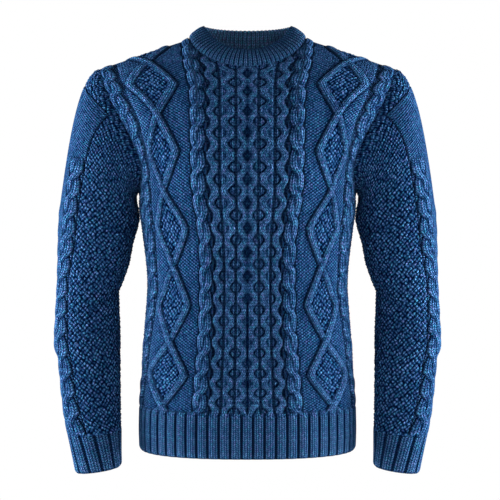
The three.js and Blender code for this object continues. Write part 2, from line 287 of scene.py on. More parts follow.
def blurred(values: Array, reach: int, closed: bool) -> Array:
    """Averages a grid over a square box, twice, which is nearly a soft round blur.

    Args:
        values: The grid.
        reach: How many rows and columns to each side the box takes in.
        closed: True if the columns run round a tube.

    Returns:
        The blurred grid.
    """
    result = values.astype(float)
    size = 2 * reach + 1
    for axis in (0, 1, 0, 1):
        mode = "wrap" if closed and axis == 1 else "edge"
        pad = [(0, 0), (0, 0)]
        pad[axis] = (reach + 1, reach)
        total = np.cumsum(np.pad(result, pad, mode=mode), axis=axis)
        upper = np.take(total, np.arange(size, total.shape[axis]), axis)
        lower = np.take(total, np.arange(0, total.shape[axis] - size), axis)
        result = (upper - lower) / size
    return result


def hollows(relief: Array, spacing: float, closed: bool) -> Array:
    """Says how far each point lies in a valley, for painted shade in valleys and painted
    highlight on crests.

    Args:
        relief: The grid's relief.
        spacing: Distance between its points.
        closed: True if the columns run round a tube.

    Returns:
        Numbers from -1 on a crest to 1 in a narrow groove.
    """
    parts = [
        weight * (blurred(relief, max(least, round(reach / spacing)), closed) - relief)
        for least, (reach, weight) in enumerate(HOLLOW_REACHES, 1)
    ]
    return np.clip(sum(parts), -1, 1)


def grid_normals(points: Array, closed: bool) -> Array:
    """Works out a direction out of a grid.

    Args:
        points: The grid.
        closed: True if the columns run round a tube.

    Returns:
        The way along the columns crossed with that along the rows, at each point.
    """
    across = np.gradient(points, axis=1)
    if closed:
        across = np.roll(points, -1, 1) - np.roll(points, 1, 1)
    return unit(np.cross(across, np.gradient(points, axis=0)))


# ---- Knitting charts ----

STITCH = 4.625  # nominal width of a stitch, as in the waist
CELL_ROWS = 8.0  # rows of knitting in one cell of the honeycomb
CELL_SIZE = 36.0  # height of a cell, as in the waist
HONEYCOMB_EDGE = 55.5
ROPE_EDGE = 79.0
DIAMOND_MIDDLE = 127.0
SIDE_ROPE = 166.0
SIDE_ROPE_EDGE = 201.0
SIDE_SEAM = 252.0
HEM_RIB = 18.1
MOSS_WIDE = 3.4  # half the spacing of the moss beads
MOSS_TALL = 4.1
MOSS_DRIFT = 0.2  # how far the lines of beads wander, as shares of the spacing
MOSS_WOBBLE = 0.12
BEAD_SHIFT = 0.5  # how far a moss bead may stand from its place, as a share of the spacing
BEAD_TURN = 0.3  # the same for its raised middle
BEAD_LEVEL = (0.55, 0.75)  # height of the lowest bead, and what chance adds to it
PURL_STITCH = 3.36
PURL_ROW = 4.03  # a row of purl, measured square to it
PURL_LEAN = math.radians(36.9)  # how steeply the purl rows fall toward the middle
RIB_SPREAD = 1.2  # widths of stitch that a rib's face takes in for each of its stitches
KNITTED = ("across", "along", "purl", "moss")


@dataclass
class Knitting:
    """What the charts say at each point of a piece.

    relief is the height over the lowest cloth in millimetres, across and along count stitches
    and rows, and purl and moss say how much of each stitch there is, where the rest is knit.
    """

    relief: Array
    across: Array
    along: Array
    purl: Array
    moss: Array

    def lay(self, other: "Knitting", where: Array) -> None:
        """Puts other knitting over this one where a mask says so.

        Args:
            other: The knitting that covers this one.
            where: True where it does.
        """
        for name in ("relief", *KNITTED):
            mine, its = getattr(self, name), getattr(other, name)
            setattr(self, name, np.where(where, its, mine))

    def stitches(self) -> dict[str, Array]:
        """Returns what the finishes need to know of the stitches, by name."""
        return {name: getattr(self, name) for name in KNITTED}


def dome(distance: Array, power: float) -> Array:
    """Returns the round profile of a strand, 1 at its middle and 0 from a distance of 1."""
    return np.sqrt(np.clip(1 - np.abs(distance) ** power, 0, 1))


def plain(like: Array, relief: float = 0.0) -> Knitting:
    """Returns level knitting of no stitch yet, shaped like an array."""
    return Knitting(np.zeros_like(like) + relief, *(np.zeros_like(like) for _ in KNITTED))


def purl(w: Array, down: Array, size: float = 1.0, relief: float = 0.0) -> Knitting:
    """Knits a purl ground, whose rows fall toward the line where w is 0.

    Args:
        w: Distance out from that line, in millimetres.
        down: Distance down, in millimetres.
        size: Size of the stitches beside the body's.
        relief: Relief of the ground.

    Returns:
        The knitting of the purl.
    """
    knit = plain(w, relief)
    knit.across = w / (PURL_STITCH * size)
    fall = down * math.cos(PURL_LEAN) + w * math.sin(PURL_LEAN)
    knit.along = fall / (PURL_ROW * size)
    knit.purl += 1
    return knit


def chance(i: Array, j: Array) -> Array:
    """Returns a number from 0 to 1 for each stitch, always the same for the same stitch."""
    value = np.sin(i * 12.9898 + j * 78.233) * 43758.5453
    return value - np.floor(value)


def moss(across: Array, down: Array, low: float, high: float) -> Knitting:
    """Knits a ground of moss, whose beads stand a little unevenly.

    Args:
        across: Distance across, in millimetres.
        down: Distance down, in millimetres.
        low: Relief between the beads.
        high: Relief on top of them.

    Returns:
        The knitting of the moss.
    """
    knit = plain(across)
    a, b = across / MOSS_WIDE, down / MOSS_TALL
    wander = MOSS_DRIFT * np.sin(0.93 * b + 1.4 * np.sin(0.41 * a))
    knit.across = a + wander + MOSS_WOBBLE * np.sin(2.1 * b - a)
    wander = MOSS_DRIFT * np.sin(1.1 * a + 1.7 * np.sin(0.35 * b))
    knit.along = b + wander + MOSS_WOBBLE * np.sin(1.9 * a + b)
    rise, fall = (knit.across + knit.along) / 2, (knit.across - knit.along) / 2
    i, j = np.round(rise), np.round(fall)
    u = rise - i + BEAD_TURN * (chance(i, j) - 0.5)
    v = fall - j + BEAD_TURN * (chance(j, i + 7) - 0.5)
    bead = np.clip(np.cos(np.pi * u), 0, 1) * np.clip(np.cos(np.pi * v), 0, 1)
    level = BEAD_LEVEL[0] + BEAD_LEVEL[1] * chance(i + 3, j - 5)
    knit.relief = low + (high - low) * bead * level
    knit.moss += 1
    return knit


@dataclass(frozen=True)
class Rope:
    """A two-strand rope between two columns, with one crossing in each cell.

    inner and outer are its edges, height the lift of the strand in front, and dive how far a
    strand sinks on its way to the back. swing is the share of a cell in which a strand goes
    from the middle to its side, full the half-width of a strand as a count of its swing to
    either side, and curl how far its ends turn back in. seam is how deep the line between two
    strands is, and gap and floor are how wide and how deep the dark line beside them is.
    """

    inner: float
    outer: float
    height: float = 5.0
    dive: float = 2.8
    swing: float = 0.3
    full: float = 1.7
    curl: float = 0.6
    crown: float = 2.4  # how square a strand's section is
    seam: float = 1.3
    seam_rise: float = 0.9  # difference in height over which the seam fades
    crossing_seam: float = 0.6  # depth of the seam in a crossing, as a share of the rest
    floor: float = -2.2
    gap: float = 1.2
    twist: float = 0.8  # rows by which the stitches lean across a crossing strand

    @property
    def middle(self) -> float:
        """Returns the middle between the rope's edges."""
        return (self.inner + self.outer) / 2

    def chart(self, w: Array, cell: Array) -> tuple[Knitting, Array]:
        """Works out the rope at each point.

        Args:
            w: Distance from the centre line, in nominal millimetres.
            cell: Height as a count of cells, downward.

        Returns:
            The knitting of the rope, and True where its strands and the gap beside them are.
        """
        reach = (self.outer - self.inner) / 2 / (1 + self.full)
        thick = reach * self.full
        none = -9.0
        best = np.full_like(w, self.floor)
        second = np.full_like(w, none)
        across = np.zeros_like(w)
        slant = np.zeros_like(w)
        clear = np.full_like(w, thick * 9)
        part = cell - np.floor(cell)
        for offset in (-1, 0, 1, 2):
            t = part - offset
            turn = np.clip(t / self.swing, -1, 1)
            curl = 1 - self.curl * smoothstep(0.5, 1.0, np.abs(t))
            distance = w - self.middle - reach * np.sin(turn * np.pi / 2) * curl
            lift = self.height * dome(distance / thick, self.crown) - self.dive * t**2
            clear = np.where(np.abs(t) <= 1, np.minimum(clear, np.abs(distance) - thick), clear)
            lift = np.where((np.abs(distance) < thick) & (np.abs(t) <= 1), lift, none)
            over = lift > best
            second = np.maximum(second, np.minimum(best, lift))
            best = np.where(over, lift, best)
            across = np.where(over, distance / thick, across)
            slant = np.where(over, np.cos(turn * np.pi / 2) * (np.abs(turn) < 1), slant)
        knit = plain(w)
        aside = smoothstep(0.15, 0.4, np.abs(part - 0.5))
        crossing = self.crossing_seam + (1 - self.crossing_seam) * aside
        knit.relief = best - self.seam * crossing * bell(best - second, self.seam_rise)
        knit.across = across
        knit.along = cell * CELL_ROWS + slant * across * self.twist
        return knit, clear < self.gap


class CellLine(NamedTuple):
    """A line of cells down the honeycomb.

    half is the half-width of a cell and tall its half-height, as a share of the cell's pitch.
    round goes from 1, a lozenge, to 2, an oval. ring_in and ring_out are how deep its sunk
    ring is on the side of the centre line and on the other, and island is how much lower the
    knitting inside it lies.
    """

    half: float
    tall: float
    round: float
    ring_in: float
    ring_out: float
    island: float


CELL_LINES = table(
    CellLine,
    (8.6, 0.30, 1.25, 2.2, 2.2, 2.9),
    (10.1, 0.28, 1.6, 2.6, 3.6, 1.0),
    (8.9, 0.28, 1.6, 1.7, 3.6, 1.0),
)


@dataclass(frozen=True)
class Honeycomb:
    """Six raised strands, three each side of the centre line, that part and meet.

    Each strand keeps to a column four stitches wide. It lies against its inner neighbour and
    its outer neighbour in turn, and cells open between them. A cell is a sunk ring round a low
    island of knitting. A groove runs down through the cells of each line, but over the chest
    the two middle strands are joined between their cells.
    """

    strand: float = 10.4
    swing: float = 4.7
    height: float = 4.0
    brim: float = 0.62  # height of a strand's edges, as a share of its middle's
    crown: float = 3.4  # how square a strand's section is
    filled: float = 3.0  # height of the knitting between two strands
    filled_out: float = 1.25  # how far out from a cell it is full, in reaches of the cell
    ring_place: float = 0.84  # how far out in its cell the ring lies
    ring_half: float = 0.16
    island_top: float = 0.6
    groove: float = -3.6
    groove_half: float = 1.9
    groove_power: int = 3
    joined_groove: float = 2.9  # the groove's height where the middle strands are joined
    joined_from: float = -450.0
    joined_to: float = -420.0
    inset: float = 1.5
    sway: float = 3.0  # how far the outer edge follows the strands
    pinch: float = 3.36  # how much narrower the middle columns are over the chest
    pinch_from: float = -380.0
    pinch_to: float = -300.0

    def edge(self, cell: Array) -> Array:
        """Returns how far out the honeycomb reaches, in nominal millimetres."""
        return HONEYCOMB_EDGE - self.inset + self.sway * np.cos(2 * np.pi * cell)

    def chart(self, w: Array, cell: Array, height: Array) -> Knitting:
        """Works out the honeycomb at each point.

        Args:
            w: Distance from the centre line, in nominal millimetres.
            cell: Height as a count of cells, downward.
            height: Height of the row over the hem, as a Z.

        Returns:
            The knitting of the honeycomb.
        """
        zone = HONEYCOMB_EDGE / 3
        first = zone - self.pinch * smoothstep(self.pinch_from, self.pinch_to, height)
        inner, outer = first / zone, 2 - first / zone
        stretch = np.where(w < first, inner, np.where(w < 2 * zone, outer, 1.0))
        second = zone + (w - first) / outer
        w = np.where(w < first, w / inner, np.where(w < 2 * zone, second, w))
        wave = np.cos(2 * np.pi * cell)
        half = self.strand / 2
        knit = plain(w, self.filled)
        knit.across = w / STITCH
        knit.along = cell * CELL_ROWS
        for index, way in enumerate((1, -1, 1)):
            distance = w - (index + 0.5) * zone - way * self.swing * wave
            over = np.abs(distance) < half
            lift = self.brim + (1 - self.brim) * dome(distance / half, self.crown)
            knit.relief = np.where(over, self.height * lift, knit.relief)
            knit.across = np.where(over, distance / half, knit.across)
        relief = knit.relief
        joined = smoothstep(self.joined_from, self.joined_to, height)
        for index, line in enumerate(CELL_LINES):
            apart = w - index * zone
            turned = cell + 0.5 * (index % 2 + 1)
            along = np.abs(turned - np.floor(turned) - 0.5) / line.tall
            bulk = np.abs(apart / line.half) ** line.round + along**line.round
            reach = bulk ** (1 / line.round)
            ring = np.where(apart < 0, line.ring_in, line.ring_out)
            ring = ring * bell(reach - self.ring_place, self.ring_half)
            relief -= ring + line.island * smoothstep(self.ring_place, self.island_top, reach)
            if index == 0:
                between = self.filled * smoothstep(1.0, self.filled_out, reach) * joined
                relief = np.where(np.abs(apart) < half, np.maximum(relief, between), relief)
        for index in range(4):
            aside = np.abs(w - (index * zone if index < 3 else self.edge(cell)))
            depth = self.groove
            if index == 0:
                depth = depth + (self.joined_groove - self.groove) * joined
            cut = np.clip(aside * stretch / self.groove_half, 0, 1) ** self.groove_power
            relief = np.minimum(relief, relief * cut + depth * (1 - cut))
        knit.relief = relief
        return knit


class Diamond(NamedTuple):
    """One diamond of the panel: the cell where it starts, and its half-width."""

    top: float
    half: float


DIAMONDS = table(
    Diamond,
    (-5.4, 29), (-2.15, 30), (1.14, 27.5), (4.4, 29),
    (7.6, 30), (11.0, 34), (14.3, 34), (17.6, 34),
)


@dataclass(frozen=True)
class DiamondField:
    """Diamonds of moss with raised outlines, on a purl ground between the two ropes."""

    ridge: float = 6.2  # half-width of an outline
    height: float = 3.2
    crown: float = 2.6
    moss_low: float = 0.0
    moss_high: float = 2.1
    ground: float = 0.6
    tall: float = 3.3  # cells in a diamond, about
    crossing: float = 0.28  # how far from a tip, in cells, two outlines still cross
    over: float = 0.8  # how far the upper outline rises at a crossing
    under: float = 1.3
    blunt: float = 0.055  # how much of a side tip is rounded off
    blunt_half: float = 0.06
    line: float = 1.4  # depth of the dark line outside an outline
    line_aside: float = 0.9
    line_half: float = 1.9

    def chart(self, w: Array, cell: Array) -> Knitting:
        """Works out the field at each point.

        Args:
            w: Distance from the centre line, in nominal millimetres.
            cell: Height as a count of cells, downward.

        Returns:
            The knitting of the field.
        """
        tops, halves = np.transpose(DIAMONDS)
        index = np.clip(np.searchsorted(tops, cell, side="right") - 1, 0, len(tops) - 2)
        t = (cell - tops[index]) / (tops[index + 1] - tops[index])
        part = 1 - np.abs(2 * t - 1)
        reach = halves[index] * (part - self.blunt * bell(t - 0.5, self.blunt_half))
        offset = w - DIAMOND_MIDDLE

        down = cell * CELL_SIZE
        knit = purl(w, down)
        aside = np.abs(offset) - reach - self.ridge - self.line_aside
        knit.relief -= self.line * groove(aside, self.line_half)
        beads = moss(offset, down, self.moss_low, self.moss_high)
        knit.lay(beads, np.abs(offset) < reach)

        near = bell(t * self.tall, self.crossing)
        far = bell((1 - t) * self.tall, self.crossing)
        for side, over, under in ((1, far, near), (-1, near, far)):
            distance = offset - side * reach
            lift = self.ground + self.over * over - self.under * under
            strand = plain(w)
            strand.relief = lift + self.height * dome(distance / self.ridge, self.crown)
            strand.across = distance / self.ridge
            strand.along = cell * CELL_ROWS
            covers = (np.abs(distance) < self.ridge) & (strand.relief > knit.relief)
            knit.lay(strand, covers)
        return knit


@dataclass(frozen=True)
class Rib:
    """Knit ribs with narrow valleys between them."""

    stitches: int
    height: float
    narrow: float = 3.4  # more makes the valleys narrower

    def chart(self, ribs: Array, rows: Array) -> Knitting:
        """Works out the ribs at each point.

        Args:
            ribs: Place across as a count of ribs, whole at a rib's middle.
            rows: Rows of knitting, downward.

        Returns:
            The knitting of the ribs.
        """
        ribs, rows = np.broadcast_arrays(ribs, rows)
        offset = ribs - np.round(ribs)
        knit = plain(offset, self.height)
        knit.relief *= 1 - np.abs(offset * 2) ** self.narrow
        knit.across = offset * self.stitches * RIB_SPREAD + 0.5 * (self.stitches % 2)
        knit.along = rows
        return knit


HEM_RIBS = Rib(2, 3.6)
CUFF_RIB = Rib(2, 3.2)
BAND_RIB = Rib(1, 2.2, narrow=2.4)


@dataclass(frozen=True)
class Crease:
    """A soft trough in the cloth between two places, or a ridge where its depth is negative."""

    start: tuple[float, float]
    end: tuple[float, float]
    width: float
    depth: float

    def depths(self, places: Array) -> Array:
        """Works out how deep the crease is.

        Args:
            places: Places, whose two numbers are the last axis.

        Returns:
            The depth at each place.
        """
        start = np.array(self.start)
        way = np.array(self.end) - start
        offset = places - start
        t = offset @ way / (way @ way)
        aside = np.linalg.norm(offset - np.clip(t, 0, 1)[..., None] * way, axis=-1)
        taper = smoothstep(-0.3, 0.35, t) * smoothstep(1.3, 0.6, t)
        return self.depth * taper * bell(aside, self.width)


SIDE_CREASES = (
    ((-184, -270), (-182, -306), 16, -1.6), ((184, -270), (182, -306), 16, -1.6),
)
FRONT_CREASES = table(
    Crease,
    *SIDE_CREASES,
    ((-176, -284), (-118, -226), 11, 2.6), ((176, -286), (122, -222), 11, 2.6),
    ((-168, -330), (-128, -318), 9, 1.8), ((168, -322), (124, -306), 9, 1.6),
    ((-172, -404), (-104, -446), 13, 2.4), ((172, -410), (112, -440), 12, 2.2),
    ((-176, -548), (-122, -590), 14, 2.4), ((176, -540), (130, -584), 13, 2.2),
    ((-70, -600), (66, -604), 12, 1.4),
    ((-136, -92), (-110, -150), 12, 1.6), ((138, -96), (112, -148), 12, 1.6),
)
BACK_CREASES = table(
    Crease,
    *SIDE_CREASES,
    ((-176, -290), (-104, -236), 13, 3.0), ((176, -282), (112, -242), 12, 2.8),
    ((-164, -392), (-40, -420), 15, 3.0), ((166, -404), (58, -432), 14, 2.8),
    ((-150, -470), (-66, -484), 12, 2.0), ((148, -462), (84, -472), 11, 1.8),
    ((-170, -560), (-96, -598), 14, 2.4), ((172, -552), (110, -592), 13, 2.2),
    ((-30, -120), (34, -124), 16, 2.0),
)
SLEEVE_CREASES = table(  # in degrees round the arm, and height
    Crease,
    ((172, -420), (112, -446), 10, 4.0), ((168, -452), (126, -462), 8, 2.2),
    ((166, -396), (118, -384), 9, 2.0), ((190, -424), (246, -440), 10, 3.6),
    ((194, -398), (240, -388), 9, 2.2), ((190, -462), (232, -478), 9, 2.0),
    ((150, -318), (100, -292), 11, 2.4), ((208, -322), (262, -296), 12, 2.6),
    ((180, -268), (180, -330), 26, -3.6), ((34, -508), (-30, -516), 12, -0.4),
    ((40, -536), (-34, -530), 9, 1.2), ((70, -634), (128, -622), 9, 1.6),
    ((200, -604), (262, -618), 10, 1.8),
)


def creased(points: Array, places: Array, creases: Sequence[Crease], out: Array) -> Array:
    """Sinks creases into a grid of points.

    Args:
        points: The points.
        places: The places that the creases are given in, for each point.
        creases: The creases.
        out: Directions out of the cloth, as long as the creases hold there.

    Returns:
        The creased points.
    """
    return moved(points, out, -sum(crease.depths(places) for crease in creases))


# ---- Meshes ----

OUTER_SHARE = 0.90  # shares of the baking map: the outer skin, the inner one and the rims
INNER_FROM = 0.91
INNER_TO = 0.97
RIM_FROM = 0.975
INNER_HOLLOW = 0.2  # painted shade on the inner skin, as the share of a valley's


@dataclass
class MeshParts:
    """The points and faces of one piece as they are gathered."""

    points: list[Array] = field(default_factory=list)
    faces: list[Array] = field(default_factory=list)
    corners: list[Array] = field(default_factory=list)
    values: list[dict[str, Array]] = field(default_factory=list)
    count: int = 0

    def add_grid(self, points: Array, used: Array | None = None, **values: Array) -> Array:
        """Adds a grid of points with their values.

        Args:
            points: The grid.
            used: True where a point is used, or None for all of them.
            values: Numbers over the grid, by the name of the attribute.

        Returns:
            The index of each point, or -1 where it isn't used.
        """
        used = np.ones(points.shape[:2], bool) if used is None else used
        size = int(used.sum())
        index = np.full(used.shape, -1)
        index[used] = self.count + np.arange(size)
        self.points.append(points[used])
        self.values.append({
            name: np.broadcast_to(values.get(name, 0.0), used.shape)[used]
            for name in (*KNITTED, "hollow")
        })
        self.count += size
        return index

    def add_faces(self, faces: Array, corners: Array, flipped: bool) -> None:
        """Adds faces of one number of corners.

        Args:
            faces: The points of each face.
            corners: The place of each corner on the baking map.
            flipped: True to turn the faces round.
        """
        way = -1 if flipped else 1
        self.faces.append(faces[:, ::way])
        self.corners.append(corners[:, ::way])

    def finish(self, name: str) -> bpy.types.Object:
        """Makes the mesh and its object, in metres.

        Args:
            name: The piece's name.

        Returns:
            The object, in the scene.
        """
        mesh = bpy.data.meshes.new(name)
        points = np.concatenate(self.points) * MM
        loops = np.concatenate([faces.ravel() for faces in self.faces])
        corners = [face for faces in self.faces for face in faces.tolist()]
        mesh.from_pydata(points.tolist(), [], corners)
        mesh.shade_smooth()
        values = {
            key: np.concatenate([part[key] for part in self.values]) for key in self.values[0]
        }
        maps = {
            "Stitch": np.stack([values["across"], values["along"]], 1)[loops],
            "OFBake": np.concatenate([corners.reshape(-1, 2) for corners in self.corners]),
        }
        for key, places in maps.items():
            layer = mesh.uv_layers.new(name=key)
            layer.uv.foreach_set("vector", places.astype(np.float32).ravel())
        mesh.uv_layers.active = mesh.uv_layers["Stitch"]
        # hollow carries the painted shade of valleys and the painted highlight of crests
        for key in ("purl", "moss", "hollow"):
            layer = mesh.attributes.new(key, "FLOAT", "POINT")
            layer.data.foreach_set("value", values[key].astype(np.float32))
        return linked(name, mesh)


@dataclass
class Skin:
    """A grid of points, round a tube or with rows that run from a first to a last column."""

    index: Array
    flipped: bool
    first: Array | None = None
    last: Array | None = None

    def add_faces(self, parts: MeshParts, low: float, high: float) -> None:
        """Adds the skin's faces, laid out on the map between two heights.

        Args:
            parts: The mesh that they go into.
            low: The lowest row's place on the map.
            high: The highest row's place on the map.
        """
        closed = self.first is None
        rows, columns = self.index.shape
        wide = columns if closed else columns - 1
        u = np.linspace(0, 1, wide + 1)
        v = np.linspace(low, high, rows)
        r, c = (grid.ravel() for grid in np.indices((rows - 1, wide)))
        if not closed:
            begin = np.maximum(self.first[:-1], self.first[1:])
            end = np.minimum(self.last[:-1], self.last[1:])
            use = (c >= begin[r]) & (c < end[r])
            r, c = r[use], c[use]
        self._put(parts, [(r, c), (r, c + 1), (r + 1, c + 1), (r + 1, c)], u, v)
        if closed:
            return
        fans: list[list[tuple[int, int]]] = []
        for row in range(rows - 1):
            for edge, step in ((self.last, 1), (self.first, -1)):
                fans += self._fan(row, int(edge[row]), int(edge[row + 1]), step)
        if fans:
            grid = np.array(fans)
            self._put(parts, [(grid[:, k, 0], grid[:, k, 1]) for k in range(3)], u, v)

    @staticmethod
    def _fan(row: int, here: int, there: int, step: int) -> list[list[tuple[int, int]]]:
        """Fills the corner between two rows that end at different columns.

        Args:
            row: The lower row.
            here: The column at which it ends.
            there: The column at which the next row ends.
            step: 1 at the right edge, -1 at the left one.

        Returns:
            Triangles, each of three rows and columns.
        """
        if here * step > there * step:
            spots = range(there, here, step)
            fan = [[(row, i), (row, i + step), (row + 1, there)] for i in spots]
        else:
            spots = range(here, there, step)
            fan = [[(row, here), (row + 1, i + step), (row + 1, i)] for i in spots]
        return [corners[::step] for corners in fan]

    def _put(self, parts: MeshParts, ring: list[tuple[Array, Array]], u: Array, v: Array) -> None:
        """Adds faces.

        Args:
            parts: The mesh that they go into.
            ring: Rows and columns of the faces' corners, in order.
            u: Each column's place on the map.
            v: Each row's place on the map.
        """
        columns = self.index.shape[1]
        faces = np.stack([self.index[r, c % columns] for r, c in ring], 1)
        places = np.stack([np.stack([u[c], v[r]], -1) for r, c in ring], 1)
        parts.add_faces(faces, places, self.flipped)

    def boundary(self) -> Array:
        """Finds the way round a patch.

        Returns:
            Indices of the points along the first row, up, and back along the last row.
        """
        rows = np.arange(len(self.index))
        bottom = self.index[0, self.first[0] : self.last[0] + 1]
        top = self.index[-1, self.first[-1] : self.last[-1] + 1]
        right = self.index[rows, self.last][1:-1]
        left = self.index[rows, self.first][1:-1]
        return np.concatenate([bottom, right, top[::-1], left[::-1]])


def bridge(parts: MeshParts, outer: Array, inner: Array, flipped: bool) -> None:
    """Joins two closed loops of points with a strip of triangles.

    Args:
        parts: The mesh that holds the points.
        outer: Indices of the fine loop.
        inner: Indices of the coarse loop, which runs the same way from the same place.
        flipped: True to turn the strip's faces round.
    """
    points = np.concatenate(parts.points)

    def shares(loop: Array) -> Array:
        """Returns how far round the loop each of its points lies, up to 1."""
        run = lengths_along(points[np.append(loop, loop[0])], 0)
        return run / run[-1]

    a, b = shares(outer), shares(inner)
    faces, places = [], []
    i = j = 0
    while i < len(outer) or j < len(inner):
        ends = [outer[i % len(outer)], inner[j % len(inner)]]
        here = [(a[i], RIM_FROM), (b[j], 1.0)]
        if j >= len(inner) or (i < len(outer) and a[i + 1] <= b[j + 1]):
            i += 1
            faces.append([*ends, outer[i % len(outer)]])
            places.append([*here, (a[i], RIM_FROM)])
        else:
            j += 1
            faces.append([*ends, inner[j % len(inner)]])
            places.append([*here, (b[j], 1.0)])
    parts.add_faces(np.array(faces), np.array(places), flipped)


@dataclass
class Cloth:
    """A piece before it is a mesh.

    outer and back are the fine grids of its two faces, of which the inner skin takes one row
    and one column in each step.
    """

    name: str
    outer: Array
    back: Array
    knit: Knitting
    hollow: Array
    flipped: bool
    step: tuple[int, int]

    def patch(self, first: Array, last: Array) -> bpy.types.Object:
        """Makes a patch from its outer skin, a coarse inner one and a rim.

        Args:
            first: First column used in each row.
            last: Last column used in each row.

        Returns:
            The piece's object.
        """
        parts = MeshParts()
        height, wide = self.hollow.shape
        stitches = self.knit.stitches()

        def within(columns: int, low: Array, high: Array) -> Array:
            """Returns True where a column lies from the low to the high one of its row."""
            column = np.arange(columns)
            return (column >= low[:, None]) & (column <= high[:, None])

        used = within(wide, first, last)
        index = parts.add_grid(self.outer, used, hollow=self.hollow, **stitches)
        skin = Skin(index, self.flipped, first, last)
        skin.add_faces(parts, 0.0, OUTER_SHARE)

        rows = np.unique(np.append(np.arange(0, height, self.step[0]), height - 1))
        middle, step = wide // 2, self.step[1]
        sides = np.arange(middle, wide, step), np.arange(middle, -1, -step)
        picks = np.unique(np.concatenate([*sides, [0, wide - 1]]))
        low = np.searchsorted(picks, first[rows], side="left")
        high = np.searchsorted(picks, last[rows], side="right") - 1
        some = np.ix_(rows, picks)
        back = self.back[some]
        for edge, true_edge in ((low, first), (high, last)):
            back[np.arange(len(rows)), edge] = self.back[rows, true_edge[rows]]
        run = {name: stitches[name][some] for name in ("across", "along")}
        # painted shade on the inner skin
        index = parts.add_grid(back, within(len(picks), low, high), hollow=INNER_HOLLOW, **run)
        inner = Skin(index, not self.flipped, low, high)
        inner.add_faces(parts, INNER_FROM, INNER_TO)
        bridge(parts, skin.boundary(), inner.boundary(), self.flipped)
        return parts.finish(self.name)

    def tube(self) -> bpy.types.Object:
        """Makes a tube from its outer skin, a coarse inner one and two rims.

        Returns:
            The piece's object.
        """
        parts = MeshParts()
        index = parts.add_grid(self.outer, hollow=self.hollow, **self.knit.stitches())
        Skin(index, self.flipped).add_faces(parts, 0.0, OUTER_SHARE)
        down, round_ = self.step
        inner = np.concatenate([self.back[:-1:down, ::round_], self.back[-1:, ::round_]])
        rows = np.linspace(0, 1, len(inner))[:, None] * 60
        columns = np.arange(inner.shape[1])
        # painted shade on the inner skin
        back = parts.add_grid(inner, hollow=INNER_HOLLOW, across=columns, along=rows)
        Skin(back, not self.flipped).add_faces(parts, INNER_FROM, INNER_TO)
        bridge(parts, index[0], back[0], self.flipped)
        bridge(parts, index[-1], back[-1], not self.flipped)
        return parts.finish(self.name)


# ---- Front and back ----


@dataclass(frozen=True)
class Cut:
    """How the front or the back is shaped.

    out is the way that it faces, along Y. rise and fall say how it rounds over to the
    shoulder, ease is how much wider it is across the armholes, and drop is its neckline's.
    """

    name: str
    out: int
    rise: float
    fall: float
    ease: float
    drop: float
    creases: tuple[Crease, ...]

    def yoke(self, level: Array) -> tuple[Array, Array, Array]:
        """Works out the yoke at shares of the way up it.

        Args:
            level: The shares.

        Returns:
            How much of its depth is left, and the armhole's distance from the centre line and
            its half-depth.
        """
        left = (1 - level**self.rise) ** (1 / self.fall)
        half = read(ARMHOLE, "half", level) + self.ease * np.sin(np.pi * level)
        return left, half, ARMHOLE_DEEP * left * np.sqrt(1 - (1 - level) ** ARMHOLE_POWER)


class Face(Enum):
    """The two halves of the body."""

    FRONT = Cut("front", -1, 2.2, 1.94, 0.0, 60.0, FRONT_CREASES)
    BACK = Cut("back", 1, 2.6, 2.0, 5.0, 11.0, BACK_CREASES)


@dataclass
class Sheet:
    """A grid of a piece's points with the charts' coordinates at each of them."""

    points: Array
    w: Array
    cell: Array
    height: Array
    aside: Array  # distance to the side seam or the armhole
    above: Array  # distance to the shoulder seam or the neckline

    def layers(self) -> list[Array]:
        """Returns the grids in order."""
        return list(vars(self).values())


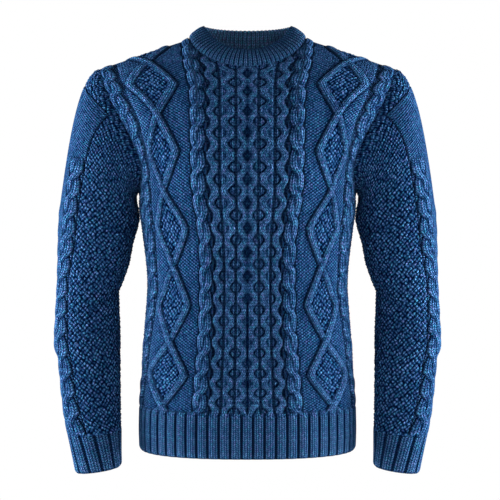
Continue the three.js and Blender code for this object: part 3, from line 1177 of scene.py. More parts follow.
@dataclass
class Torso:
    """The form of the front or the back, as columns of points from hem to neck."""

    face: Face
    column: float = HONEYCOMB_EDGE / 33
    row: float = 1.95
    far: float = 200.0  # how far past the side rope the columns are spread

    def sections(self, z: Array, level: Array) -> tuple[Array, Array, Array]:
        """Works out quarter sections from the centre line to the side.

        Args:
            z: Height of each section below the arms, where level is 0.
            level: Share of the way up the yoke of each section.

        Returns:
            x, depth and the length so far along each section, a row for each.
        """
        z, level = z[:, None], level[:, None]
        left, armhole, edge = self.face.value.yoke(level)
        deep = read(BODY, self.face.value.name, z) * np.maximum(left, 1e-6)
        half = np.where(level > 0, armhole, read(BODY, "half", z))
        reach = (1 - (edge / deep) ** SECTION_POWER) ** (1 / SECTION_POWER)
        turn = np.arcsin(reach ** (SECTION_POWER / 2))
        angle = turn * np.linspace(0, 1, SECTION_STEPS + 1)
        x = half / reach * np.sin(angle) ** (2 / SECTION_POWER)
        y = deep * np.maximum(np.cos(angle), 0) ** (2 / SECTION_POWER)
        return x, y, lengths_along(np.stack([x, y], -1), 1)

    def spread(self, w: Array, height: Array, whole: Array) -> tuple[Array, Array]:
        """Finds how far along each section the columns lie.

        Args:
            w: Nominal distances of the columns from the centre line.
            height: Height of each row, as a Z.
            whole: Length of each section.

        Returns:
            The distances, and the nominal distance of each row's edge.
        """
        marks = [read(SPREAD, name, height) for name in ("honeycomb", "diamond", "side")]
        beyond = read(SPREAD, "beyond", height)
        nominal = [0, HONEYCOMB_EDGE, DIAMOND_MIDDLE, SIDE_ROPE, SIDE_ROPE + self.far]
        rows = zip(*marks, marks[2] + self.far * beyond)
        result = np.stack([np.interp(w, nominal, (0, *row)) for row in rows])
        edge = SIDE_ROPE + (whole - marks[2]) / beyond
        return np.minimum(result, whole[:, None]), edge

    def place(self, w: Array, z: Array, level: Array) -> Sheet:
        """Places columns on sections of the form, on the wearer's left.

        Args:
            w: Nominal distances of the columns from the centre line.
            z: Height of each row below the arms, where level is 0.
            level: Share of the way up the yoke of each row.

        Returns:
            The sheet, with no count of cells yet.
        """
        height = np.where(level > 0, UNDERARM_Z * (1 - level), z)
        x, y, run = self.sections(z, level)
        distance, edge = self.spread(w, height, run[:, -1])
        px, py = picked(distance, run, x), picked(distance, run, y)
        share, z = level[:, None], z[:, None]
        yoke = UNDERARM_Z + (shoulder_z(px) - UNDERARM_Z) * share
        pz = np.where(share > 0, yoke, z)
        points = np.stack([px, self.face.value.out * (py + SEAM_GAP / 2), pz], -1)
        aside = edge[:, None] - w
        grid = np.minimum(w, edge[:, None])
        rows = np.repeat(height[:, None], len(w), 1)
        return Sheet(points, grid, np.zeros_like(grid), rows, aside, np.full_like(grid, 99.0))


@dataclass
class Panel:
    """The front or the back, from the top of its hem rib to neckline and shoulders."""

    face: Face
    yoke_steps: int = 170
    yoke_rows: int = 150
    tilt: float = 0.36  # cells by which the rows rise outward under the shoulder
    tilt_from: float = -190.0
    tilt_to: float = -70.0
    tilt_wide: float = 77.0
    depth: float = 3.1  # the lowest cloth lies this far inside the solid's face
    side_moss: tuple[float, float] = (-0.2, 1.6)  # relief of the moss at the side seam
    rope_gap: float = 1.0  # how far out from the honeycomb the chest rope begins
    beside_rope: float = 3.1  # relief of the stitches between rope and honeycomb
    rope_rate: float = 1.015  # crossings of the chest rope for each cell of the honeycomb
    rope_start: float = 0.29
    side_rope_gap: float = 1.2
    side_rope_height: float = 4.8
    side_line: float = 2.8  # depth of the dark line inside the side rope
    side_line_half: float = 2.4
    fold: float = 2.8  # depth of the fold that the armhole rope stands beside
    fold_half: float = 4.2
    fold_in: float = 1.0  # how far in from the rope it runs
    fold_from: float = -240.0
    fold_to: float = -190.0
    worn: float = 0.5  # relief left at the shoulder and neckline, as a share
    worn_reach: float = 26.0
    rib_reach: float = 13.0  # how far up the hem's ribs run on into the panel
    crease_clear: float = 22.0  # how far from an edge the creases reach their depth
    inner_step: tuple[int, int] = (6, 6)

    def half_sheet(self) -> Sheet:
        """Lays out the wearer's left half.

        Returns:
            Its sheet, from the top of the hem rib up.
        """
        torso = Torso(self.face)
        w = np.arange(0, SIDE_SEAM, torso.column)
        low = HEM_TOP_Z + SEAM_GAP / 2
        z = spaced(low, UNDERARM_Z, torso.row)
        body = torso.place(w, z, np.zeros_like(z))
        body.cell += cells_at(z)[:, None]

        level = np.sin(np.linspace(0, np.pi / 2, self.yoke_steps + 1))
        yoke = torso.place(w, np.full_like(level, UNDERARM_Z), level)
        yoke.points[0] = body.points[-1]
        run = lengths_along(yoke.points, 0)
        size = read(CELLS, "size", yoke.height)
        step = np.diff(run, axis=0) * 2 / (size[1:] + size[:-1])
        up = np.concatenate([np.zeros((1, len(w))), np.cumsum(step, 0)])
        yoke.cell = cells_at(UNDERARM_Z) - up
        outward = np.clip((w - ROPE_EDGE) / self.tilt_wide, 0, 1.5)
        tilted = smoothstep(self.tilt_from, self.tilt_to, yoke.height) * outward
        yoke.cell += self.tilt * tilted
        yoke = self.cut_neckline(yoke, run)
        pairs = zip(body.layers(), yoke.layers())
        return Sheet(*[np.concatenate([lower, upper[1:]]) for lower, upper in pairs])

    def cut_neckline(self, yoke: Sheet, run: Array) -> Sheet:
        """Spaces the yoke's rows anew, up to the neckline or the shoulder.

        Args:
            yoke: The yoke up to the shoulder line.
            run: Length run through so far up each column.

        Returns:
            The yoke, whose last row is its upper edge.
        """
        x = yoke.points[..., 0]
        open_ = np.maximum(1 - (x / NECK_HALF) ** 2, 0) ** NECK_POWER
        over = yoke.points[..., 2] + self.face.value.drop * open_
        columns = x.shape[1]
        layers = [*np.moveaxis(yoke.points, -1, 0), *yoke.layers()[1:-1]]
        result = np.empty((len(layers), self.yoke_rows + 1, columns))
        above = np.empty((self.yoke_rows + 1, columns))
        for i in range(columns):
            top = run[-1, i]
            crossed = np.flatnonzero(over[:, i] > 0)
            if len(crossed) and crossed[0] > 0 and x[crossed[0], i] < NECK_HALF:
                k = crossed[0]
                part = -over[k - 1, i] / (over[k, i] - over[k - 1, i])
                top = run[k - 1, i] + part * (run[k, i] - run[k - 1, i])
            places = np.linspace(0, top, self.yoke_rows + 1)
            above[:, i] = top - places
            for layer, values in enumerate(layers):
                result[layer, :, i] = np.interp(places, run[:, i], values[:, i])
        return Sheet(np.moveaxis(result[:3], 0, -1), *result[3:], above)

    def sheet(self) -> tuple[Sheet, Array, Array]:
        """Mirrors the half into a whole.

        Returns:
            The whole, and each row's first and last column.
        """
        half = self.half_sheet()
        middle = half.w.shape[1] - 1
        whole = Sheet(*[np.concatenate([v[:, :0:-1], v], 1) for v in half.layers()])
        whole.points[:, :middle, 0] *= -1
        inside = half.aside > 0.35 * Torso.column
        inside[:, -1] = False
        last = np.argmin(inside, axis=1)
        return whole, middle - last, middle + last

    def seam_pull(self, sheet: Sheet, normals: Array) -> tuple[Array, Array]:
        """Works out which way the seams draw the cloth in.

        Args:
            sheet: The panel's points and coordinates.
            normals: Directions out of the cloth.

        Returns:
            A direction at each point, and how strongly it holds, from 0 to 1.
        """
        x, height = sheet.points[..., 0], sheet.points[..., 2]
        side, none = np.sign(x), np.zeros_like(x)
        flank = np.stack([-side, none, none], -1)
        centre = np.stack([side * ARMHOLE_CENTRE[0], none, none + ARMHOLE_CENTRE[2]], -1)
        yoke = smoothstep(UNDERARM_Z - 14, UNDERARM_Z, height)[..., None]
        aside = flank * (1 - yoke) + unit(centre - sheet.points) * yoke
        shoulder = unit(np.stack([-side * SHOULDER_SLOPE, none, none - 1], -1))
        on_neck = smoothstep(NECK_HALF + 3, NECK_HALF - 3, np.abs(x))[..., None]
        above = shoulder * (1 - on_neck) - normals * on_neck
        near_side = 1 - smoothstep(0, SEAM_REACH, sheet.aside)
        near_top = 1 - smoothstep(0, SEAM_REACH, sheet.above)
        way = aside * near_side[..., None] + above * near_top[..., None]
        return unit(way), np.maximum(near_side, near_top)

    def knit(self, sheet: Sheet) -> Knitting:
        """Puts the charts together over the panel.

        Args:
            sheet: The panel's points and coordinates.

        Returns:
            The knitting at each point.
        """
        w, cell, height = sheet.w, sheet.cell, sheet.height
        down = cell * CELL_SIZE
        knit = moss(w - SIDE_ROPE_EDGE, down, *self.side_moss)
        knit.lay(purl(w, down), height > UNDERARM_Z)
        knit.lay(DiamondField().chart(w, cell), w < SIDE_ROPE)
        inner = SIDE_ROPE + self.side_rope_gap
        knit.lay(*Rope(inner, SIDE_ROPE_EDGE, self.side_rope_height).chart(w, cell))
        rope = Rope(HONEYCOMB_EDGE + self.rope_gap, ROPE_EDGE)
        knit.lay(plain(w, self.beside_rope), (w >= HONEYCOMB_EDGE) & (w < rope.middle))
        knit.lay(*rope.chart(w, cell * self.rope_rate + self.rope_start))
        honeycomb = Honeycomb()
        knit.lay(honeycomb.chart(w, cell, height), w < honeycomb.edge(cell))
        knit.relief -= self.side_line * groove(w - SIDE_ROPE, self.side_line_half)
        fold = groove(w - SIDE_ROPE + self.fold_in, self.fold_half)
        knit.relief -= self.fold * smoothstep(self.fold_from, self.fold_to, height) * fold
        return knit

    def blend_ribs(self, knit: Knitting, sheet: Sheet) -> None:
        """Lets the lowest rows run into the ribs below them.

        Args:
            knit: The panel's knitting, changed in place.
            sheet: The panel's points and coordinates.
        """
        arc = lengths_along(sheet.points[:1], 1)
        ribs = HEM_RIBS.chart((arc - arc[:, arc.size // 2]) / HEM_RIB, sheet.cell)
        share = smoothstep(HEM_TOP_Z + self.rib_reach, HEM_TOP_Z + 1, sheet.height)
        relief = knit.relief * (1 - share) + ribs.relief * share
        ribs.along = sheet.cell * CELL_ROWS
        knit.lay(ribs, share > 0.6)
        knit.relief = relief

    def build(self) -> bpy.types.Object:
        """Makes the panel.

        Returns:
            Its object.
        """
        sheet, first, last = self.sheet()
        cut = self.face.value
        edge = np.minimum(np.minimum(sheet.aside, sheet.above), sheet.height - HEM_TOP_Z)
        out = grid_normals(sheet.points, False) * -cut.out
        out *= smoothstep(0, self.crease_clear, edge)[..., None]
        points = creased(sheet.points, sheet.points[..., [0, 2]], cut.creases, out)
        sheet.points = points
        normals = grid_normals(points, False) * -cut.out
        knit = self.knit(sheet)
        self.blend_ribs(knit, sheet)
        way, held = self.seam_pull(sheet, normals)
        worn = self.worn + (1 - self.worn) * smoothstep(0, self.worn_reach, sheet.above)
        free = normals * (knit.relief * (1 - held) * worn - self.depth)[..., None]
        outer = moved(points + free, way * SEAM_PULL - free, held)
        back = points - normals * (self.depth + WALL * 0.4)
        # painted shade in the valleys and painted highlight on the crests
        hollow = hollows(knit.relief, Torso.row, False)
        name = f"{cut.name}_cloth"
        cloth = Cloth(name, outer, back, knit, hollow, cut.out > 0, self.inner_step)
        return cloth.patch(first, last)


@dataclass(frozen=True)
class FreeEdge:
    """How the free edge of a rib is worn and tucked in."""

    left: float = 0.55  # relief at the edge, as a share
    reach: float = 5.0
    tuck: float = 1.6
    tuck_reach: float = 4.0

    def worn(self, relief: Array, foot: Array) -> tuple[Array, Array]:
        """Wears the edge of a piece.

        Args:
            relief: The relief of its ribs.
            foot: Height over the edge.

        Returns:
            The relief that is left, and how far the cloth is tucked in.
        """
        share = self.left + (1 - self.left) * smoothstep(0, self.reach, foot)
        return relief * share, self.tuck * (1 - smoothstep(0, self.tuck_reach, foot))


@dataclass
class HemRib:
    """The ribbed hem of the front or the back."""

    face: Face
    column: float = 1.25
    row: float = 3.0
    rib_rows: float = 19.0
    depth: float = 3.1
    side_reach: float = 5.0  # how far from the side seam the ribs reach their relief
    inner_step: tuple[int, int] = (8, 8)

    def build(self) -> bpy.types.Object:
        """Makes the hem.

        Returns:
            Its object.
        """
        tall = HEM_TOP_Z - HEM_Z
        z = spaced(HEM_Z, HEM_TOP_Z - SEAM_GAP / 2, self.row)
        x, y, run = Torso(self.face).sections(z, np.zeros_like(z))
        whole = run[-1, -1]
        share = np.linspace(0, 1, round(whole / self.column) + 1)
        places = share * run[:, -1:]
        px, py = picked(places, run, x), picked(places, run, y)
        z = z[:, None]
        out = self.face.value.out
        half = np.stack([px, out * (py + SEAM_GAP / 2), z + 0 * px], -1)
        points = np.concatenate([half[:, :0:-1] * [-1, 1, 1], half], 1)
        normals = grid_normals(points, False) * -out
        arc = np.concatenate([-share[:0:-1], share]) * whole
        knit = HEM_RIBS.chart(arc / HEM_RIB, (HEM_TOP_Z - z) / tall * self.rib_rows)
        relief, tuck = FreeEdge().worn(knit.relief, z - HEM_Z)
        relief = relief * smoothstep(0, self.side_reach, whole - np.abs(arc))
        outer = moved(points, normals, relief - self.depth - tuck)
        back = points - normals * (self.depth + WALL * 0.5)
        # painted shade in the valleys and painted highlight on the crests
        hollow = hollows(relief, self.column, False)
        first = np.zeros(len(z), int)
        name = f"{self.face.value.name}_hem"
        cloth = Cloth(name, outer, back, knit, hollow, out > 0, self.inner_step)
        return cloth.patch(first, first + len(arc) - 1)


# ---- Sleeves and cuffs ----

CUFF_RIBS = 11
CUFF_RIB_ARC = 58.8  # from the outer side of the wrist round to the middle of a rib


@dataclass
class Arm:
    """The form of the left sleeve and cuff, as rows round the arm from armhole to wrist.

    A line down the cap is a curve with two handles. leave and arrive are their lengths as
    shares of the distance, swell leans the upper one forward or back, and outward leans the
    lower one away from the body.
    """

    leave: float = 0.28
    leave_most: float = 38.0  # the upper handle is no longer than this
    arrive: float = 0.5
    outward: float = 0.13
    swell: float = 0.35
    edge_steps: int = 240

    def armhole(self) -> tuple[Array, Array]:
        """Works out the armhole's edge.

        Returns:
            Points down the front from the shoulder tip and up the back, and their angles.
        """
        level = (1 + np.cos(np.linspace(0, np.pi, self.edge_steps))) / 2
        halves = []
        for face in (Face.FRONT, Face.BACK):
            _, x, deep = face.value.yoke(level)
            z = UNDERARM_Z + (shoulder_z(x) - UNDERARM_Z) * level
            points = np.stack([x, face.value.out * (deep + SEAM_GAP / 2), z], -1)
            points[[0, -1], 1] = 0
            halves.append(points)
        halves[1] = halves[1][::-1]
        front, back = [lengths_along(half, 0) for half in halves]
        angle = [front / front[-1], 1 + back[1:] / back[-1]]
        return np.concatenate([halves[0], halves[1][1:]]), np.pi * np.concatenate(angle)

    def ring(self, angle: Array, z: Array) -> Array:
        """Places points on rings of the sleeve.

        Args:
            angle: Angles round the arm, from its outer side over the front.
            z: Heights of the rings' middles.

        Returns:
            The points.
        """
        wide, deep = (
            np.sign(v) * np.abs(v) ** (2 / SLEEVE_POWER) for v in (np.cos(angle), np.sin(angle))
        )
        across = read(SLEEVE, "across", z) * wide
        lean = np.radians(read(SLEEVE, "lean", z))
        x = read(SLEEVE, "x", z) + across * np.cos(lean)
        y = read(SLEEVE, "y", z) - read(SLEEVE, "deep", z) * deep
        return np.stack([x, y, z + across * np.sin(lean)], -1)

    def cap(self, angle: Array, share: Array) -> Array:
        """Places points of the sleeve cap.

        Args:
            angle: Angles round the arm, one for each column.
            share: Shares of the way from the armhole to the first ring, one for each row.

        Returns:
            A grid of points, a row for each share.
        """
        edge, angles = self.armhole()
        start = np.stack([np.interp(angle, angles, edge[:, k]) for k in range(3)], -1)
        rise = unit(edge[0] - edge[self.edge_steps - 1])
        axis = np.array([rise[2], 0, -rise[0]])
        start = start + axis * SEAM_GAP
        end = self.ring(angle, np.full_like(angle, SLEEVE[0].z))
        length = np.linalg.norm(end - start, axis=1, keepdims=True)
        out = np.zeros_like(start)
        out[:, 1] = -self.swell * np.sin(angle)
        down = unit(np.array([self.outward, 0, -1]))
        a = start + unit(out + axis) * np.minimum(length * self.leave, self.leave_most)
        b = end - down * length * self.arrive
        t = share[:, None, None]
        handles = 3 * a * t * (1 - t) ** 2 + 3 * b * t * t * (1 - t)
        return start * (1 - t) ** 3 + handles + end * t**3


@dataclass
class ArmPiece:
    """What a sleeve and its cuff have in common: a tube of cloth round one arm.

    side is 1 for the wearer's left arm and -1 for the right one. wall is the distance from the
    ground of the outer skin to the inner skin.
    """

    side: int
    columns: int = 0
    row: float = 0.0
    depth: float = 0.0
    wall: float = 2.0
    inner_step: tuple[int, int] = (6, 6)

    @property
    def angles(self) -> Array:
        """Returns the angle of each column."""
        return np.linspace(0, 2 * np.pi, self.columns, endpoint=False)

    def measured(self, points: Array) -> tuple[Array, Array]:
        """Measures the cloth round the arm.

        Args:
            points: The grid of its points.

        Returns:
            Each point's distance from the outer side, less than 0 behind the arm, and the
            count of the cuff's ribs up to it.
        """
        around = lengths_along(np.append(points, points[:, :1], 1), 1)
        whole = around[:, -1:]
        arc = np.where(self.angles > np.pi, around[:, :-1] - whole, around[:, :-1])
        return arc, (arc - CUFF_RIB_ARC) / whole * CUFF_RIBS

    def woven(
        self, kind: str, skins: tuple[Array, Array], knit: Knitting, hollow: Array
    ) -> bpy.types.Object:
        """Makes the piece's mesh on its own side of the body.

        Args:
            kind: What the piece is.
            skins: Its outer and its inner grid, for the left arm.
            knit: Its knitting.
            hollow: How deep in a valley each point lies, which sets its painted shade.

        Returns:
            The object.
        """
        outer, back = (skin * [self.side, 1, 1] for skin in skins)
        right = self.side < 0
        name = f"{'right' if right else 'left'}_{kind}"
        return Cloth(name, outer, back, knit, hollow, right, self.inner_step).tube()


@dataclass
class Sleeve(ArmPiece):
    """One sleeve, from the armhole to its cuff.

    It is moss, with a purl lozenge on the cap, and two ropes beside a narrow middle one down
    the outer side.
    """

    columns: int = 252
    row: float = 1.7
    depth: float = 1.6
    cap_rows: int = 138
    cuff_depth: float = 2.6
    slack: float = 1.02  # length of the cloth beside its height
    moss_low: float = -0.3
    moss_high: float = 1.7
    coarse: float = 1.12  # width of the moss beads beside the body's
    rope_half: float = 16.5
    rope_height: float = 4.8
    middle_half: float = 9.0
    middle_height: float = 2.4
    dive: float = 0.6  # how far a strand sinks, as a share of its height
    rope_top: float = -92.0  # distance down from the first ring at which the ropes begin
    middle_top: float = -22.0
    rope_fade: float = 16.0
    rope_cell: float = 33.0
    fine: float = 0.82  # size of the lozenge's stitches beside the body's
    purl_relief: float = 1.2
    lozenge_from: float = -112.0
    lozenge_tip: float = -178.0
    lozenge_rise: float = 46.0
    lozenge_arc: float = 76.5
    lozenge_power: float = 1.3
    lozenge_bulge: float = 4.5
    lozenge_gap: float = 1.5
    line: float = 2.2  # depth of the dark line round the lozenge
    line_half: float = 2.0
    lap: float = 1.3  # how far the sleeve's edge reaches in under the panels
    edge_in: float = 0.8  # how far that edge is drawn toward the armhole's middle
    behind: float = 300.0  # degrees from which a crease counts back from the outer side

    def build(self) -> bpy.types.Object:
        """Makes the sleeve.

        Returns:
            Its object.
        """
        arm = Arm()
        angle = self.angles
        cap = arm.cap(angle, np.linspace(0, 1, self.cap_rows + 1))
        low = CUFF_TOP_Z + SEAM_GAP / 2
        z = spaced(SLEEVE[0].z, low, self.row)
        points = np.concatenate([cap, arm.ring(*np.meshgrid(angle, z))[1:]])

        run = lengths_along(points, 0)
        down = run - run[self.cap_rows]
        down[self.cap_rows :] = (z[0] - z)[:, None] * self.slack
        height = SLEEVE[0].z - down
        height[self.cap_rows :] = z[:, None]
        arc, ribs = self.measured(points)
        nominal = arc.copy()
        nominal[: self.cap_rows] = arc[self.cap_rows]

        degrees = np.degrees(angle) + 0 * height
        turned = np.where(degrees > self.behind, degrees - 360, degrees)
        places = np.stack([turned, height], -1)
        points = creased(points, places, SLEEVE_CREASES, grid_normals(points, True))
        normals = grid_normals(points, True)

        knit = moss(arc / self.coarse, down, self.moss_low, self.moss_high)
        self.knit(knit, np.abs(nominal), down, height)
        to_cuff = smoothstep(low + 10, low + 1, height)
        relief = knit.relief * (1 - to_cuff) + CUFF_RIB.chart(ribs, down).relief * to_cuff
        held = 1 - smoothstep(0, SEAM_REACH, run)
        depth = self.depth + (self.cuff_depth - self.depth) * to_cuff
        free = normals * (relief - depth)[..., None]
        way = unit(np.array(ARMHOLE_CENTRE) - points)
        skins = (
            moved(points + free, way * SEAM_PULL - free, held),
            moved(points, -normals, depth + self.wall),
        )
        tuck = unit(points[1] - points[0]) * self.lap
        for skin in skins:
            skin[0] += way[0] * self.edge_in - tuck
        # painted shade in the valleys and painted highlight on the crests
        return self.woven("sleeve_cloth", skins, knit, hollows(relief, self.row, True))

    def knit(self, knit: Knitting, arc: Array, down: Array, height: Array) -> None:
        """Puts the lozenge and the ropes over the sleeve's moss.

        Args:
            knit: The moss, which this changes in place.
            arc: Distance round the arm from its outer side, either way.
            down: Distance down the arm from the first ring.
            height: Height of each row.
        """
        line = read(SLEEVE_ROPES, "arc", height)
        ground = purl(-arc, down, self.fine, self.purl_relief)
        bulge = self.lozenge_bulge * smoothstep(self.lozenge_from, self.lozenge_tip, down)
        rim = line + self.rope_half + self.lozenge_gap + bulge - arc
        rise = np.clip(1 - (arc / self.lozenge_arc) ** self.lozenge_power, 0, 1)
        inside = np.minimum(rim, down - self.lozenge_tip + self.lozenge_rise * rise)
        knit.lay(ground, inside > 0)
        knit.relief -= self.line * groove(inside, self.line_half)

        for middle, reach, lift, top in (
            (line, self.rope_half, self.rope_height, self.rope_top),
            (0.0, self.middle_half, self.middle_height, self.middle_top),
        ):
            fade = smoothstep(top - self.rope_fade, top + self.rope_fade, down)
            rope = Rope(-reach, reach, height=lift, dive=lift * self.dive)
            laid, covers = rope.chart(middle - arc, down / self.rope_cell)
            laid.relief = laid.relief * fade + ground.relief * (1 - fade)
            knit.lay(laid, covers & (fade > 0.3))


@dataclass
class Cuff(ArmPiece):
    """One ribbed cuff, from the sleeve to the wrist."""

    columns: int = 208
    row: float = 3.0
    depth: float = 2.6
    rib_row: float = 4.0
    spacing: float = 1.25  # distance from column to column
    inner_step: tuple[int, int] = (3, 4)

    def build(self) -> bpy.types.Object:
        """Makes the cuff.

        Returns:
            Its object.
        """
        top = CUFF_TOP_Z - SEAM_GAP / 2
        angle, z = np.meshgrid(self.angles, spaced(top, WRIST_Z, self.row))
        points = Arm().ring(angle, z)
        knit = CUFF_RIB.chart(self.measured(points)[1], (top - z) / self.rib_row)
        relief, tuck = FreeEdge().worn(knit.relief, z - WRIST_Z)
        normals = grid_normals(points, True)
        skins = (
            moved(points, normals, relief - self.depth - tuck),
            points - normals * (self.depth + self.wall),
        )
        # painted shade in the valleys and painted highlight on the crests
        return self.woven("cuff_rib", skins, knit, hollows(relief, self.spacing, True))


# ---- Neckband ----

BAND_RIBS = 78
BAND_THICKNESS = (  # share of the way up the band, and of its whole thickness there
    (0, 0.56), (0.32, 1), (0.65, 1), (0.9, 0.86), (0.97, 0.6), (1, 0),
)


@dataclass
class Neckband:
    """The folded neckband, ribbed outside and inside.

    half, front and back are the rim's reaches from its middle, and foot_half and foot_deep the
    foot's. rim is the rim's height, rim_back what it gains behind, and dip says how steeply it
    falls toward the front.
    """

    half: float = 74.0
    front: float = 75.0
    back: float = 55.0
    rim: float = 18.6
    rim_back: float = 2.6
    rim_back_from: float = -10.0
    rim_back_to: float = 25.0
    dip: float = 0.9
    dip_from: float = -20.0
    dip_round: float = 8.0
    foot_half: float = 93.0
    foot_deep: float = 80.0
    foot_smoothed: int = 6
    swell: float = 2.2
    upright: float = 0.6
    rib_columns: int = 7
    side_rows: int = 19
    row: float = 4.4  # height of a row of knitting
    depth: float = 1.1
    foot_relief: float = 0.4  # relief left at the foot, as a share
    fold_loss: float = 0.45  # share of the relief lost on the fold
    fold_from: float = 0.75
    inside_painted_light: float = 3.0  # painted light on the inside of the band, where little light falls

    def neckline(self) -> tuple[Array, Array]:
        """Finds the neckline round both panels, from the wearer's left over the back.

        Returns:
            Points of the edge of the cloth's middle, and the directions out of the cloth.
        """
        edges, outs = [], []
        for face, way in ((Face.BACK, -1), (Face.FRONT, 1)):
            points = Panel(face).sheet()[0].points
            use = np.abs(points[-1, :, 0]) < NECK_HALF
            edges.append(points[-1][use][::way])
            outs.append(grid_normals(points, False)[-1][use][::way] * -face.value.out)
        edge, out = np.concatenate(edges), np.concatenate(outs)
        return edge - out * WALL / 2, out

    def foot(self) -> tuple[Array, Array]:
        """Spreads the band's columns round the neckline.

        Returns:
            The foot of each column, and the direction out of the cloth there.
        """
        loop, cloth = self.neckline()
        loop, cloth = np.append(loop, loop[:1], 0), np.append(cloth, cloth[:1], 0)
        run = lengths_along(loop, 0)
        places = np.linspace(0, run[-1], BAND_RIBS * self.rib_columns, endpoint=False)
        foot, cloth = (
            np.stack([np.interp(places, run, values[:, k]) for k in range(3)], -1)
            for values in (loop, cloth)
        )
        cloth = unit(cloth)
        for _ in range(self.foot_smoothed):
            foot = (np.roll(foot, 1, 0) + foot * 2 + np.roll(foot, -1, 0)) / 4
            cloth = unit(np.roll(cloth, 1, 0) + cloth * 2 + np.roll(cloth, -1, 0))
        return foot, cloth

    def top(self, foot: Array) -> Array:
        """Finds the rim.

        Args:
            foot: Points of the foot.

        Returns:
            The rim's point over each of them.
        """
        angle = np.arctan2(foot[:, 1] / self.foot_deep, foot[:, 0] / self.foot_half)
        y = np.sin(angle) * np.where(np.sin(angle) > 0, self.back, self.front)
        ahead = self.dip_from - y
        rim = self.rim - self.dip * (ahead + np.hypot(ahead, self.dip_round)) / 2
        rim += self.rim_back * smoothstep(self.rim_back_from, self.rim_back_to, y)
        return np.stack([self.half * np.cos(angle), y, rim], -1)

    def build(self) -> bpy.types.Object:
        """Makes the neckband.

        Returns:
            Its object.
        """
        foot, cloth = self.foot()
        top = self.top(foot)
        level = unit(foot * [1, 1, 0])
        share = np.linspace(0, 1, self.side_rows)
        up = np.concatenate([share, share[-2::-1]])
        outside = np.arange(len(up)) < self.side_rows
        rows = []
        for rise, way in zip(up, np.where(outside, 1, -1)):
            turn = min(rise / self.upright, 1)
            out = unit(cloth * (1 - turn) + level * turn)
            place = foot + (top - foot) * rise + level * self.swell * math.sin(math.pi * rise)
            thick = np.interp(rise, *zip(*BAND_THICKNESS))
            rows.append(place + out * way * (BAND_WALL / 2 - self.depth) * thick)
        points = np.stack(rows)
        normals = grid_normals(points, True)
        flipped = bool(np.sum(normals[self.side_rows // 2] * level) < 0)
        if flipped:
            normals = -normals
        ribs = np.arange(len(foot))[None, :] / self.rib_columns
        along = lengths_along(points, 0).mean(1)[:, None] / self.row
        knit = BAND_RIB.chart(ribs, along)
        worn = self.foot_relief + (1 - self.foot_relief) * smoothstep(0, 0.12, up)[:, None]
        fold = smoothstep(self.fold_from, 1.0, up)[:, None]
        relief = knit.relief * worn * (1 - self.fold_loss * fold)
        outer = moved(points, normals, relief)
        # painted light on the inside rows, against the shade that falls there
        hollow = hollows(relief, 1.0, True) - self.inside_painted_light * ~outside[:, None]
        parts = MeshParts()
        index = parts.add_grid(outer, hollow=hollow, **knit.stitches())
        Skin(index, flipped).add_faces(parts, 0.0, INNER_TO)
        bridge(parts, index[0], index[-1], flipped)
        return parts.finish("neckband_rib")


# ---- Finishes ----

WHITE = (1, 1, 1, 1)
KNIT_LEAN = 1.7  # how steeply the legs of a knit stitch rise from its middle
LOOP_POWER = 0.6  # less makes the loops of a knit stitch fuller
PURL_POWER = 0.8
DASH_DEPTH = 0.72  # how deep the gaps in a row of purl are
BEAD_LEAST = 0.75  # size of the smallest moss bead, and how much larger others are
BEAD_MORE = 0.6
BEAD_TOP = 1.1
BEAD_SLOPE = -1.7
MOTTLE_SIZES = (230.0, 210.0)  # how fine the flecks of plum and of teal are
MOTTLE_SPAN = (0.5, 0.66)
MOTTLE_SHARE = 0.75
MOTTLE_APART = (3.1, 7.7, 1.3)  # puts the teal in other places than the plum
SLOW_SIZE = 14.0
SLOW_DEPTH = 0.4  # how much lighter one part of the cloth is than another
FLECK_SIZE = 340.0
FLECK_SPAN = (0.3, 0.7)
FIBRE_SIZE = 1400.0
FIBRE_DEPTH = 0.5
TOP_POWER = 1.2
TOP_LIGHT = 0.62  # how much lighter the top of a stitch is than the painted shade in the gap beside it
# what is left in the painted shade of a gap between stitches
GAP_LIGHT = 0.09
# painted shade in valleys and painted highlight on crests
HOLLOW_SHADE = 0.9
DEEPENING = (0.75, 0.3, 0.0)  # how much faster red, green and blue fade where the painted shade and the marl make it dark


def linked(name: str, data: bpy.types.ID) -> bpy.types.Object:
    """Makes an object and puts it into the scene.

    Args:
        name: The object's name.
        data: What it is made of.

    Returns:
        The object.
    """
    thing = bpy.data.objects.new(name, data)
    bpy.context.collection.objects.link(thing)
    return thing


